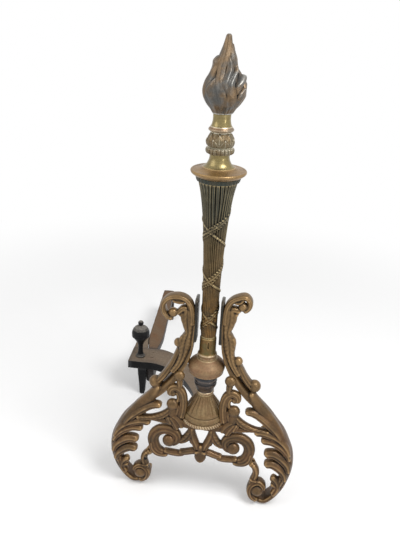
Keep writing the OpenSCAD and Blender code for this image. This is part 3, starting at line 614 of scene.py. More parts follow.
# name, node, slot, finish, shape, relief and points round
turnedPieces = [
    ("gadroonRing", "gadroon_ring", "aged_brass", "paleBrass", gadroon, gadroonRelief, 440),
    ("flutedBell", "bell_foot", "aged_brass", "bellBrass", bell, bellRelief, 380),
    ("footTorus", "foot_torus", "aged_brass", "paleBrass",
     dict(outline=[(11.6, 0), (12.8, 0.8), (13.6, 2.4), (13.1, 4), (12, 5)]), None, 160),
    ("darkSpool", "dark_spool", "dark_brass", "darkSpool",
     dict(outline=[(12.4, 0), (13, 1.5), (13.2, 3.5), (13.8, 5.5), (15, 8), (16.2, 10.5),
                   (16.6, 12.4), (15.8, 13.6), (15.2, 14.4), (16, 15.4), (16.8, 16.6), (17, 18),
                   (16.2, 19.6), (16, 20.5)]), None, 160),
    ("domeNeck", "dome", "aged_brass", "darkSpool",
     dict(outline=[(16, 0), (16.7, 1), (17, 2.8), (16.3, 4.4), (15.7, 5.2), (16.6, 6.2), (17, 8),
                   (16.4, 9.6), (16, 10.6)]), None, 160),
    ("smoothDome", "dome", "aged_brass", "domeBrass", dome, domeRelief, 400),
    ("cuffRings", "cuff_rings", "aged_brass", "paleBrass",
     dict(outline=[(12.6, 0), (13.4, 1), (13.5, 2.2), (12.7, 3.3), (13.6, 4.3), (14.2, 5.8),
                   (13.9, 7.2), (12.8, 8)]), None, 160),
    ("slottedCollar", "slotted_collar", "aged_brass", "collarBrass", collar, collarRelief, 300),
    ("dripDisc", "drip_disc", "bright_brass", "discBrass", disc, None, 264),
    ("torchLip", "drip_disc", "bright_brass", "torchBrass", lip, lipRelief, 390),
    ("polishedNeck", "polished_neck", "bright_brass", "neckBrass",
     dict(outline=[(19.9, 0), (18.2, 1.1), (16.4, 2.9), (14.8, 5.4), (13.5, 8.4), (12.8, 11.2),
                   (12.7, 13.6), (13, 15.2), (13.2, 16.5)]), None, 160),
    ("beadedRing", "beaded_ring", "aged_brass", "knopBrass", beadRing, beadRingRelief, 352),
    ("leafKnop", "leaf_knop", "aged_brass", "knopBrass", knop, knopRelief, 400),
    ("astragalRing", "astragal_ring", "aged_brass", "copperBrass",
     dict(outline=[(14, 0), (14.2, 0.8), (15.9, 1.6), (16.2, 2.8), (15.7, 4), (14.6, 4.6),
                   (14.6, 5.2), (13.8, 6.4), (13.4, 7)]), None, 160),
    ("flameNeck", "flame_neck", "bright_brass", "neckBrass",
     dict(outline=[(13, 0), (12.1, 2.6), (11.3, 6.2), (11.1, 9), (11.2, 12), (11.3, 15)]), None, 160),
]
# These pieces get no relief marks: no dirt and painted shade in their hollows, no rubbed metal and
# painted highlight on their edges.
unmarked = ("torchLip", "polishedNeck", "flameNeck")     # no pale line at their ends
for name, nodeName, slotName, finish, shape, relief, count in turnedPieces:
    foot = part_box(nodeName)[0][2] / mm
    addPiece(name, [turnedShell(foot, shape["outline"], count, relief)], finish,
             nodeName, None if name in unmarked else (8, 0.35))
print("turned pieces:", len(turnedPieces))


torch = dict(
    footRadius=11.4, swell=10.3, swellPower=2.4, lipRadius=26.4, lipPower=9, footTuck=0.5,
    reeds=30, reedPower=0.6, reedDepth=0.9, reedDeeper=1.5, deeperOver=(0.15, 0.9), turns=390,
    rows=250,
    tuck=1.2,     # the end goes on this far into the lip above
    # the reeds wander: by how many radians, waves round the shaft, mm of height to a radian
    wobbles=[(0.05, 3, 31), (0.03, 5, -17)],
    # and each is split by a line that sways
    split=0.28, splitFrom=(0.1, 0.5), splitSway=(3, 40),
    # the ribbons cross at these heights in mm, at these degrees from the front
    crossings=[(254, 4), (316, 0), (375, -15), (448, -22), (524, -22)],
    ribbonHeight=1.7, ribbonSunk=0.35, ribbonEnd=(0.86, 0.9), strandHalf=1.9, strandLay=(5, 4),
    laurelHalf=1.6, leafEvery=7.0, leafHalf=4.3, leafFlare=3.2, leafWidth=1.7, leafReach=4.6,
    leafRise=0.85)


def halfRound(off, half):
    # A circle's height over its half width, 1 in the middle: (1 - (off/half)^2)^0.5.
    return np.clip(1 - (off / half) ** 2, 0, None) ** 0.5


def torchShell():
    # Radius = foot + swell t^2.4 + lip t^9 and round reeds, |sin(15 angle)|^0.6. Two ribbons
    # wind opposite ways: each is a half round over the distance from its helix.
    low, high = (end[2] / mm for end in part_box("torch_shaft"))
    high += torch["tuck"]
    height = np.linspace(low, high, torch["rows"])[None, :]
    angle = np.arange(torch["turns"])[:, None] * tau / torch["turns"]
    t = (height - low) / (high - low)
    lip = torch["lipRadius"] - torch["footRadius"] - torch["swell"]
    base = (torch["footRadius"] + torch["swell"] * t ** torch["swellPower"]
            + lip * t ** torch["lipPower"])
    wobble = sum(most * np.sin(waves * angle + height / rise) for most, waves, rise in torch["wobbles"])
    reed = np.abs(np.sin((angle + wobble) * torch["reeds"] / 2)) ** torch["reedPower"]
    sway = torch["splitSway"][0] * np.sin(height / torch["splitSway"][1])
    split = 0.5 + 0.5 * np.cos((angle + wobble) * torch["reeds"] * 2 + sway)
    depth = torch["reedDepth"] + torch["reedDeeper"] * ramp(t, *torch["deeperOver"])
    radius = (base - depth * (1 - reed)
              - torch["split"] * depth * split * reed * ramp(t, *torch["splitFrom"]))
    radius = radius - torch["footTuck"] * ramp(0.03 - t, -0.01, 0.02)
    levels, leans = np.array(torch["crossings"], float).T
    phase = np.interp(height, levels, np.arange(len(levels)) - 1.0)
    lean = np.radians(np.interp(height, levels, leans))
    slope = tau * np.gradient(phase[0], height[0])[None, :]     # turn per mm of height
    raised = np.zeros_like(radius)
    for way in (1, -1):
        turn = (angle - lean - way * tau * phase + math.pi) % tau - math.pi
        steep = slope * base
        off = turn * base / np.sqrt(1 + steep ** 2)
        along = height * np.sqrt(1 + steep ** 2)
        if way == 1:      # the laurel: pairs of leaves stand out from the ribbon
            beat = (along / torch["leafEvery"]) % 1
            flare = np.abs(off) - torch["leafHalf"] * beat * (1 - beat) * torch["leafFlare"]
            leaf = halfRound(flare, torch["leafWidth"]) * (np.abs(off) < torch["leafReach"])
            rise = np.maximum(halfRound(off, torch["laurelHalf"]), torch["leafRise"] * leaf)
        else:             # the twisted strand: a rope's slanted lay
            alongLay, acrossLay = torch["strandLay"]
            lay = np.cos(tau * (along / alongLay + off / acrossLay))
            rise = halfRound(off, torch["strandHalf"]) * (0.8 + 0.2 * lay)
        rise = rise * (1 - ramp(t, *torch["ribbonEnd"]))
        raised = np.maximum(raised, rise)
    over = base - torch["ribbonSunk"] * depth + torch["ribbonHeight"] * raised
    radius = np.where(raised > 0.15, np.maximum(radius, over), radius)
    return boredShell(angle, radius, height[0])


addPiece("torchShaft", [torchShell()], "torchBrass", "torch_shaft", (7, 0.3))
print("torch shaft made")


flame = dict(
    # radius in mm at each share of the height
    outline=[(11.6, 0), (14.9, 0.06), (18.8, 0.11), (22.0, 0.165), (24.2, 0.22), (25.2, 0.27),
             (25.2, 0.32), (23.8, 0.39), (21.8, 0.445), (19.0, 0.5), (16.6, 0.56), (14.8, 0.61),
             (13.4, 0.65), (11.8, 0.7), (10.0, 0.75), (8.3, 0.8), (6.4, 0.86), (4.8, 0.92),
             (3.9, 0.96), (3.0, 0.985), (1.6, 1)],
    widest=27.4, sunk=1.2, relief=1.35, lean=2.6, groove=0.3, grooveTurn=6.3, turns=320, rows=300,
    # tongues that lick upwards: share of height, degrees from the front, half width in
    # degrees and height in mm, from root to tip
    tongues=[
        [(-0.05, -52, 22, 0.6), (0.14, -60, 27, 1.6), (0.28, -63, 29, 2.0), (0.4, -66, 27, 2.2),
         (0.5, -62, 26, 2.4), (0.6, -54, 28, 2.6), (0.67, -54, 26, 3.9), (0.73, -50, 14, 1.6)],
        [(-0.05, -26, 12, 1.0), (0.15, -24, 17, 2.4), (0.3, -33, 20, 3.2), (0.4, -30, 13, 3.6),
         (0.475, -26, 2, 2.6)],
        [(0.0, -4, 8, 0.6), (0.2, 2, 14, 2.4), (0.35, -7, 15, 2.8), (0.5, -12, 18, 2.8),
         (0.62, -13, 24, 2.6), (0.76, -4, 40, 1.8), (0.9, 2, 60, 1.0), (0.98, 2, 80, 0.4)],
        [(0.28, 14, 8, 1.0), (0.4, 9, 13, 3.2), (0.5, 16, 15, 3.6), (0.6, 27, 19, 3.2),
         (0.68, 25, 15, 3.0), (0.75, 18, 3, 1.6)],
        [(0.02, 36, 12, 0.8), (0.2, 31, 16, 2.4), (0.32, 26, 15, 3.0), (0.42, 25, 13, 3.4),
         (0.5, 38, 13, 3.2), (0.58, 58, 11, 3.2), (0.64, 68, 3, 2.0)],
        [(0.28, 44, 10, 1.0), (0.38, 54, 14, 3.2), (0.455, 72, 17, 5.6), (0.505, 80, 12, 6.4),
         (0.525, 76, 3, 4.0)],
        [(0.0, 68, 16, 0.8), (0.18, 62, 18, 2.0), (0.27, 70, 19, 3.2), (0.33, 76, 13, 3.6),
         (0.352, 72, 3, 2.0)],
        [(0.0, 22, 9, 0.8), (0.1, 19, 11, 2.0), (0.2, 17, 9, 2.4), (0.3, 22, 2, 1.4)],
        [(0.58, 62, 22, 0.8), (0.7, 57, 28, 2.0), (0.8, 58, 28, 1.6), (0.88, 40, 5, 1.0)],
        [(0.6, -36, 14, 0.6), (0.72, -32, 24, 1.8), (0.8, -24, 24, 1.4), (0.88, -6, 5, 0.8)]],
    # the same tongues turned round the back: which one, by how many degrees
    behind=[(0, -52), (0, 206), (1, 130), (1, -118), (2, 180), (4, 78), (4, 150), (5, 88),
            (6, 62), (6, 118), (9, 180), (8, 60)])


def flameShell():
    # Tongues lie over each other: one is (1 - |side|^2.4)^0.6 of its height across its width,
    # with two shallow grooves, and where several meet the highest shows.
    low, high = (end[2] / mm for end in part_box("flame_finial"))
    t = np.linspace(0, 1, flame["rows"])[None, :]
    angle = np.arange(flame["turns"])[:, None] * tau / flame["turns"]
    shares = np.array(flame["outline"])
    base = np.interp(t, *curveThrough(shares, 6).T[::-1]) - flame["sunk"] * np.sin(math.pi * t)
    rise = np.zeros((flame["turns"], flame["rows"]))
    licks = [(tongue, 0) for tongue in flame["tongues"]]
    licks += [(flame["tongues"][which], turn) for which, turn in flame["behind"]]
    for tongue, turn in licks:
        share, centre, half, tall = curveThrough(tongue, 6).T
        off = angle - np.radians(np.interp(t, share, centre) + turn)
        side = ((off + math.pi) % tau - math.pi) / np.radians(np.interp(t, share, half))
        within = (np.abs(side) < 1) & (t > share[0]) & (t < share[-1])
        swell = np.clip(1 - np.abs(side) ** 2.4, 0, 1) ** 0.6
        grooves = flame["groove"] * (np.cos(side * flame["grooveTurn"]) - 1) * (1 - side ** 2)
        lick = (swell * flame["relief"] * np.interp(t, share, tall) + grooves) * within
        rise = np.maximum(rise, lick)
    for _ in range(2):     # each height mixes with its neighbours', so no step stays sharp
        rise = 0.5 * rise + 0.25 * (np.roll(rise, 1, 0) + np.roll(rise, -1, 0))
        rise[:, 1:-1] = 0.5 * rise[:, 1:-1] + 0.25 * (rise[:, 2:] + rise[:, :-2])
    radius = np.minimum(base + rise, flame["widest"])
    lean = flame["lean"] * t ** 2
    grid = gridOf(radius * np.sin(angle) + lean, -radius * np.cos(angle), low + (high - low) * t)
    return cappedShell(np.swapaxes(grid, 0, 1))


# The flame's relief is measured wide, so its grooves darken broadly: dirt and painted shade.
addPiece("flameFinial", [flameShell()], "flameBrass", "flame_finial", (22, 0.8))
print("flame made")


def frontHeight(kind, u, walk):
    # Height of a stroke's front across its width, u from -1 to 1, walk in mm along it.
    arch = (1 - u ** 2) ** 0.5
    if kind == "strap":       # flat with round corners
        return (1 - u ** 8) ** 0.3
    if kind == "band":        # its outer side is round like a rod's, its inner side flat
        outer, inner = np.clip(u, 0, 1), np.clip(-u, 0, 1)
        return np.clip(1 - outer ** 2.2, 0, 1) ** 0.5 * (1 - inner ** 8) ** 0.3
    if kind == "channel":     # a round with two shallow grooves along it
        return arch * (1 - 0.2 * hump(np.abs(u), 0.36, 0.15)) + 0.12 * u ** 2 * (1 - u ** 8)
    if kind == "leaf":        # convex, with a sunk vein and slanted side veins
        sides = 0.06 * np.cos(tau * (walk / 6.5 - 0.9 * np.abs(u)))
        return (1 - np.abs(u) ** 3) ** 0.5 * (1 - 0.22 * hump(u, 0, 0.15) + sides * np.abs(u))
    if kind == "finger":      # a fat finger with one groove on its lower side
        return arch * (1 - 0.24 * hump(u, 0.28, 0.17))
    return arch               # round


strokeSpacing = 1.1     # mm between a stroke's sections
strokeColumns = 19      # points across its front


def strokeShell(kind, mid, thick, path, side=1):
    # A closed stroke along a path of (x, z, width) in mm, mid and thick along y: the profile of
    # its kind is set across the path, and both ends round off like a circle of their own width.
    path = evenly(curveThrough(path), strokeSpacing)
    walk, heading = walked(path[:, :2]), headings(path[:, :2])
    ends = [np.clip(1 - np.clip(1 - d / (0.5 * w + 0.01), 0, 1) ** 2, 0.02, 1) ** 0.5
            for d, w in ((walk, path[0, 2]), (walk[-1] - walk, path[-1, 2]))]
    cap = np.minimum(*ends)[:, None]
    u = np.sin(np.linspace(-1, 1, strokeColumns) * math.pi / 2)
    both = np.concatenate([u, u[-2:0:-1]])[None, :]
    isFront = (np.arange(both.shape[1]) < len(u))[None, :]
    front = frontHeight(kind, both, walk[:, None])
    back = front if kind == "band" else (1 - both ** 6) ** 0.35
    y = mid + np.where(isFront, -front, back) * thick / 2 * cap
    shift = path[:, 2:3] / 2 * both * cap
    return cappedShell(gridOf((path[:, 0:1] - heading[:, 1:2] * shift) * side, y,
                              path[:, 1:2] + heading[:, 0:1] * shift))


def ballShell(x, z, radius, mid, side, squash=1.0):
    # Sphere: rings of radius r sin(a) at height r cos(a), squashed along y.
    a = np.linspace(0.08, math.pi - 0.08, 20)[:, None]
    b = np.arange(32)[None, :] * tau / 32
    return cappedShell(gridOf(x * side + radius * np.sin(a) * np.cos(b),
                              mid + squash * radius * np.sin(a) * np.sin(b),
                              z + radius * np.cos(a)))


def fusedCasting(name, shells, voxel, smoothing):
    # The shells flow into one skin by a voxel remesh, then the steps are smoothed out.
    piece = inScene(name, joinedMesh(name, shells))
    remesh = piece.modifiers.new("fuse", "REMESH")
    remesh.mode = "VOXEL"
    remesh.voxel_size = voxel * mm
    remesh.use_smooth_shade = True
    smooth = piece.modifiers.new("smooth", "SMOOTH")
    smooth.factor = 0.5
    smooth.iterations = smoothing
    withModifiers(piece)
    mesh = piece.data
    bpy.data.objects.remove(piece)
    return mesh


# a stroke is (kind, middle and thickness along y, path of (x, z, width)), a ball (x, z, r, y)
legs = dict(
    voxel=0.85, smoothing=3, ankle=60, curlEye=(40, 349), curlAcross=(36, 50), curlUp=(308, 318),
    swingTop=170,
    # how the two castings differ: lift and curl, a bend at the foot, and the outer side's strand
    left=dict(lift=-1.0, tight=-0.12, rise=0, out=4.5, back=13,
              knobs=[(41, 276, 6.8, -9), (74, 203.4, 9.4, -5)], strand=[
                  (37.4, 274, 7), (39.6, 266, 8), (43, 255, 9), (48, 241.6, 9.5),
                  (54.2, 229, 10), (62, 216, 10), (71, 204.6, 9)]),
    right=dict(lift=5.0, tight=0.3, rise=4, out=0, back=0,
               knobs=[(45.6, 249.6, 6.8, -9), (72, 208.6, 9.4, -5)], strand=[
                   (43.6, 250, 7), (46.8, 242, 8.5), (51, 233, 9.5), (57, 222, 10),
                   (64, 212.4, 10), (70, 206, 9)]),
    strandMiddle=-6, strandThick=16,
    band=("band", 0, 26, [
        (21.2, 318, 7), (22.4, 289.6, 8), (25.2, 264.1, 9), (29.6, 248.3, 10), (36, 233.8, 11),
        (44.3, 217.9, 12), (55.4, 202.3, 13), (66.5, 189.5, 13), (79.8, 176.7, 12), (95.4, 161.1, 11),
        (107.6, 145.6, 10.5), (119.8, 129.7, 10), (128.7, 111.4, 10), (134.8, 95.9, 9.5),
        (137.2, 80.4, 9), (136.6, 64.9, 9), (133.1, 49.3, 9), (127.6, 33.8, 9.5), (117.6, 16.9, 10),
        (105.4, 5.2, 10), (93.2, 6.3, 9), (83.2, 13.6, 8), (78.4, 25.1, 6)]),
    strokes=[
        # the strap curled over at the top, the lobe that hangs in it and the frill below
        ("channel", -9, 17.5, [
            (23.6, 306, 9), (23.8, 322, 9), (25.8, 336, 9), (31.8, 345.2, 8.5), (42, 349.2, 8),
            (53.4, 347, 8), (61, 339, 8), (61.4, 328.6, 8), (55.6, 320.6, 8), (48.4, 319.6, 8)]),
        ("finger", -10, 14, [(33, 344, 7), (41, 342.6, 8), (47.5, 344, 7), (50, 346, 4)]),
        ("finger", -10.5, 13, [(29, 331, 9), (35, 332.4, 9), (40, 329, 8), (44.6, 324.5, 6)]),
        ("finger", -10.5, 12, [(30, 325, 9), (36, 325.5, 8), (41.5, 321.5, 6)]),
        # the leaf down the front, nipped in twice
        ("leaf", -10.5, 14, [
            (29, 334, 12), (29.8, 322, 16.5), (28.8, 309, 16), (27.4, 296, 11), (30, 286, 15),
            (32, 274, 17), (33.4, 262, 13), (36.6, 250, 10.5), (41.6, 239, 9), (49.5, 227, 8)]),
        ("finger", -12, 9, [(31.5, 306, 6), (34.4, 314, 8), (35.6, 322, 8), (37.5, 328, 6)]),
        ("finger", -12, 9, [(33, 268, 6), (36.6, 276, 8), (37, 283, 7), (34.5, 289, 5)]),
        # the smooth sheath below the lower knob
        ("round", -8, 14.5, [
            (67.6, 200.6, 9), (74, 187, 15), (84, 172, 18), (94.6, 159.2, 18.5), (106, 144.2, 17),
            (117.2, 128, 14), (126.4, 110, 11), (132.2, 94.6, 7.5)]),
        # the leaf's body along the inside of the band
        ("leaf", -10.5, 12, [
            (100, 146, 5), (115, 126, 9), (125.5, 106, 11), (130.6, 84, 11.5), (129.6, 62, 11.5),
            (123.8, 42, 10.5), (114.6, 22, 8)]),
        # fingers that grow up along the band and turn inwards, from the top down
        ("finger", -11.5, 14, [
            (122, 117, 6), (111.5, 134.6, 11), (98.6, 148.6, 13.5), (87, 158.6, 13.5), (77, 164.8, 13),
            (68, 166.6, 11), (62.6, 164, 8)]),
        ("finger", -12, 14, [
            (134.6, 97, 6), (126.6, 112, 11), (115, 124, 13.5), (102, 130.4, 13), (91.6, 133, 13.5),
            (83.6, 132.4, 12), (78.6, 129.6, 9)]),
        ("finger", -12.4, 13, [
            (135.2, 88, 6), (129.6, 101, 11), (119, 112, 13.5), (107, 118.4, 13), (96, 119.4, 12.5),
            (89.6, 117.6, 9)]),
        ("finger", -12, 14, [
            (135.6, 65, 7), (132, 78.6, 12.5), (121.6, 90, 15.5), (110.6, 96, 16), (101, 95.6, 14),
            (96, 94, 10)]),
        ("finger", -12, 14, [
            (131.8, 49, 7), (129, 61.4, 12.5), (119.6, 72, 15.5), (110.4, 77, 15.5), (102.6, 76, 13.5),
            (98, 74, 10)]),
        ("finger", -11, 12, [
            (115, 20, 7), (121.2, 31, 10.5), (120.2, 43.4, 12.5), (113.6, 51, 11.5), (110, 53, 9)]),
        ("finger", -12, 10, [(121, 36, 7), (115.4, 39.6, 7.5), (111, 40, 6)]),
        # the foot's volute, turned in to its eye, and the tail over it
        ("channel", -10.5, 16, [
            (94, 8, 9), (84.4, 14.4, 11), (81, 26, 12), (84.6, 36, 12), (92.6, 40, 11.5),
            (99, 35.4, 10.5), (100.4, 27, 9)]),
        ("finger", -11, 12, [
            (80.6, 36, 7), (84.6, 46, 10), (87.2, 56.4, 10.5), (84.8, 66, 10), (79.4, 72, 8)]),
        ("finger", -12, 12, [(78.4, 45.6, 4), (84.2, 44.6, 5), (90, 43.4, 4)])],
    balls=[(91.6, 27.4, 10.6, -12), (49, 327, 7, -10.5), (79.6, 70.6, 4.6, -11)])


def placed(x, z, hand):
    # A curl is rolled in towards its eye and raised: x - k (x - 40), z + k (349 - z) + rise,
    # eased in outwards and upwards. Above its ankle a casting stands off its solid by its lift.
    out = ramp(x, *legs["curlAcross"]) * ramp(z, *legs["curlUp"])
    eyeX, eyeZ = legs["curlEye"]
    z = z + out * (hand["tight"] * (eyeZ - z) + hand["rise"])
    return (x - hand["tight"] * out * (x - eyeX),
            z + hand["lift"] * min(max(z / legs["ankle"], 0), 1))


def legShells(side):
    hand = legs["left" if side < 0 else "right"]
    strand = ("finger", legs["strandMiddle"], legs["strandThick"], hand["strand"])
    shells = []
    for kind, mid, thick, path in [legs["band"], strand] + legs["strokes"]:
        path = [(*placed(x, z, hand), width) for x, z, width in path]
        shells.append(strokeShell(kind, mid, thick, path, side))
    shells += [ballShell(*placed(x, z, hand), r, mid, side)
               for x, z, r, mid in legs["balls"] + hand["knobs"]]
    # the casting is bent out and back towards its foot, by its share (1 - z/170)^1.3
    for points, _, _ in shells:
        share = np.clip(1 - points[:, 2] / legs["swingTop"], 0, 1) ** 1.3
        points[:, 0] += side * hand["out"] * share
        points[:, 1] += hand["back"] * share
    return shells


strap = dict(inner=15.6, thick=5, low=277, high=345.9, deep=25, hookRise=6, hookHalf=5,
             hookOut=0.8, hookThick=1.6, rows=15)


def strapShell(side):
    # A flat bar between the shaft and the scroll, hooked out a little and thicker at its foot. Its dark
    # colour is dirt and painted shade on the leg's inner side.
    z = np.linspace(strap["low"], strap["high"], strap["rows"])
    hook = hump(z, strap["low"] + strap["hookRise"], strap["hookHalf"])
    x = strap["inner"] + strap["thick"] / 2 + strap["hookOut"] * hook
    width = strap["thick"] + strap["hookThick"] * hook
    return strokeShell("strap", 0, strap["deep"], np.column_stack([x, z, width]), side)


for hand, side in (("left", -1), ("right", 1)):
    casting = fusedCasting(hand + "Leg", legShells(side), legs["voxel"], legs["smoothing"])
    addPiece(hand + "ScrollLeg", casting, "legBrass", hand + "_scroll_leg",
             (9, 0.42))
    addPiece(hand + "Strap", [strapShell(side)], "strapDirtAndShade",
             hand + "_scroll_leg", (4, 0.4))
    print(hand, "leg:", len(casting.polygons), "faces")


apron = dict(
    voxel=0.75, smoothing=3,
    strokes=[
        # ear scroll, its stalk and the knob's little wing
        ("channel", -13, 10.5, [
            (33, 147, 12), (30.6, 159, 12.5), (29.4, 172, 12.5), (30.2, 186, 12), (34, 196.6, 12),
            (41.2, 201, 12), (48, 198.4, 11.5), (49.8, 191.8, 10.5), (46.6, 187.4, 9)]),
        ("finger", -13, 10, [(37.4, 199, 8), (36, 206, 8.5), (36.6, 213, 10), (37.2, 220, 11)]),
        ("finger", -12, 8, [(30, 217.5, 5), (33, 220, 7), (37, 221, 8)]),
        ("finger", -13.4, 8, [(39, 176, 5), (36.6, 184, 7), (38, 191, 8), (42, 194, 6)]),
        # bud, a pear on its stalk
        ("round", -13, 11.5, [(45, 147, 15), (45, 156, 14), (45.4, 165, 14.5), (45.6, 172, 14)]),
        ("finger", -13.4, 9, [(42, 150, 7), (38.4, 157, 8), (37, 165, 7.5), (38.6, 171.5, 5)]),
        # vine to the leg, broad where its leaves part
        ("leaf", -13, 10, [
            (47, 168, 5), (52, 157, 10), (62, 148.4, 11), (75, 143.4, 9), (88, 141.4, 8),
            (101, 140.6, 6)]),
        ("finger", -13.2, 9, [(48, 141, 9), (58, 139.6, 9), (70, 141, 7.5), (84, 141.4, 6)]),
        # shelf under the seat
        ("strap", -12.6, 9, [(-1.6, 137, 11), (19.3, 137, 11), (29.5, 139, 11), (42.1, 147.5, 13)]),
        # hand of leaf fingers that hangs beside the bell's foot
        ("finger", -14, 10.5, [(48, 153, 10), (39.6, 147.4, 12), (33.4, 139, 12), (30.4, 130.4, 9)]),
        ("finger", -14, 10.5, [(50, 150, 10), (44.2, 142.4, 12), (39.6, 133.6, 11), (37.6, 126.6, 8)]),
        ("finger", -14, 10, [(53, 150, 9), (49.6, 142.6, 10), (46.8, 135, 8)]),
        # the volute: a fat channel from its eye over the top and back along the bottom
        ("channel", -13, 11, [
            (50, 104.6, 13), (42.6, 102, 14), (37.4, 108.4, 14.5), (38.6, 117, 15), (46.8, 122.8, 16),
            (59, 123.2, 17), (69.4, 116.4, 17.5), (73.8, 104.4, 17.5), (71.4, 91.6, 16.5),
            (64.6, 83, 14), (55, 80.4, 11)]),
        ("finger", -13.4, 11, [
            (76.6, 100, 7), (75, 87, 10), (67.6, 78.6, 11), (57, 76.6, 9), (50, 78.4, 6)]),
        ("finger", -13, 10, [(58, 83.4, 8), (45, 81.4, 10), (33, 81, 9.5), (24, 83, 7)]),
        ("finger", -13, 10, [(34, 84.6, 7), (24.6, 85, 10), (13, 88.6, 10.5), (3, 90, 10)]),
        # stem that runs down in a funnel to the pendant, with its ribbed side leaf
        ("finger", -13, 10.5, [
            (15, 136.4, 10), (15.6, 126, 12), (12.6, 114, 13), (8, 103, 12), (4, 92, 10)]),
        ("leaf", -13, 10, [
            (15, 131, 8), (18.2, 120.4, 12.5), (23.6, 111.4, 12.5), (30, 106.4, 10), (35, 104.4, 8)]),
        ("leaf", -12, 8, [(12, 118, 7), (12.6, 108, 9), (17, 103.4, 7)])],
    balls=[(49, 104, 10.4, -13.2), (45.6, 171, 9.4, -13), (46, 190.6, 5.4, -13.4),
           (37.3, 221.6, 8.4, -12.4), (30, 105.6, 5, -13)],
    pendant=[("round", -13.2, 12, [
        (0, 104, 7), (0, 94, 11), (0, 86, 16), (0, 80, 18), (0, 75, 15), (0, 70, 8)]),
        ("strap", -13.6, 12, [(-9, 88.6, 4), (0, 91.6, 5), (9, 88.6, 4)])],
    # the screws' lugs, (tip, root), and their necks to the leaves in front
    lugs=[((98.7, 136.3), (86.4, 139.9)), ((85.4, 63.1), (75.4, 81.8))],
    lugWide=12, lugMiddle=-3, lugThick=4, neckWide=8, neckLong=3, neckMiddle=-6, neckThick=9,
    plateRadius=18, plateThick=5, squash=0.8)


def apronShells():
    shells = []
    for side in (-1, 1):
        shells += [strokeShell(*stroke, side) for stroke in apron["strokes"]]
        shells += [ballShell(x, z, r, mid, side, apron["squash"]) for x, z, r, mid in apron["balls"]]
        for tip, root in apron["lugs"]:
            lug = [(*tip, apron["lugWide"]), (*root, apron["lugWide"])]
            neck = [(*root, apron["neckWide"]), (root[0] - apron["neckLong"], root[1], apron["neckWide"])]
            shells += [strokeShell("strap", apron["lugMiddle"], apron["lugThick"], lug, side),
                       strokeShell("strap", apron["neckMiddle"], apron["neckThick"], neck, side)]
    return shells + [strokeShell(*stroke) for stroke in apron["pendant"]]


def plateShell():
    # The round seat plate under the bell's ring, a washer with its top just below the seat.
    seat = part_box("gadroon_ring")[0][2] / mm
    inner, low = boreRadius + 1, -apron["plateThick"]
    outline = [(inner, low), (apron["plateRadius"], low), (apron["plateRadius"], -0.1), (inner, -0.1)]
    return turnedShell(seat, outline, 120, spacing=0.6, softness=0.4)


casting = fusedCasting("apron", apronShells(), apron["voxel"], apron["smoothing"])
addPiece("piercedApron", casting, "legBrass", "pierced_apron", (9, 0.4))
addPiece("seatPlate", [plateShell()], "legBrass", "pierced_apron", (4, 0.4))
print("apron:", len(casting.polygons), "faces")


hammered = dict(broad=22, fine=7, fineShare=0.4)     # sizes of the dents in mm


def barShell(centre, side, up, halfWide, halfThick, radius, seed, hammer=0.35):
    # A bar along its centre line: each section is an oblong with round corners, set out on the
    # side and up directions; hammer marks only take metal away.
    quarter, flat = np.linspace(0, math.pi / 2, 5), np.linspace(-1, 1, 9)[1:-1]
    one, none = np.ones(7), np.zeros(7)
    parts = []
    for turn, (sx, sz) in enumerate([(1, 1), (-1, 1), (-1, -1), (1, -1)]):
        angle = quarter + turn * math.pi / 2
        parts.append([np.full(5, sx), np.full(5, sz), np.cos(angle), np.sin(angle)])
        parts.append([sx * one, -sz * flat, sx * one, none] if turn % 2 else
                     [-sx * flat, sz * one, none, sz * one])
    cx, cz, ax, az = (row[None, :] for row in np.hstack(parts))
    side, up = (np.broadcast_to(way, centre.shape)[:, None, :] for way in (side, up))
    wide, thick = (np.broadcast_to(half, len(centre))[:, None] for half in (halfWide, halfThick))
    around = cx * (wide - radius) + radius * ax
    above = cz * (thick - radius) + radius * az
    rings = centre[:, None, :] + around[..., None] * side + above[..., None] * up
    broad, fine = (0.5 + 0.5 * np.clip(unevenness(rings, hammered[size], draw), -1, 1)
                   for size, draw in (("broad", seed), ("fine", seed + 1)))
    dent = hammer * broad
    dent += hammered["fineShare"] * hammer * fine
    rings = (rings - (dent * (ax + 0.5 * cx * (ax == 0)))[..., None] * side
             - (dent * az)[..., None] * up)
    return cappedShell(rings)


rightward, upward = (1.0, 0.0, 0.0), (0.0, 0.0, 1.0)
arm = dict(
    path=[(0, 8, 20), (-7, 39.3, 22), (-16.5, 94.7, 21), (-36.6, 159.4, 25), (-59, 210.2, 35),
          (-86.1, 242.6, 46), (-118, 258, 54), (-145, 258, 54), (-172, 258, 54)],
    spacing=2.5, padHalf=27, padLeft=-172.0, padEnd=285, top=138.5, under=133.0, padTop=80.0,
    padUnder=64.0, slope=(19.0, 214.8), sunk=0.25, dents=0.5, dentSize=26, eyeRadius=14,
    eyeTall=5.5,
    # the heel that runs on beside the log bar: its edges are (y, x)
    heelLeft=[(280, -172), (312, -172), (327, -168), (338, -152.8)],
    heelRight=[(280, -142.9), (285, -142.9), (312.5, -149), (327, -150.6), (338, -152.5)],
    heelMiddle=72.0, heelHalf=7.9)


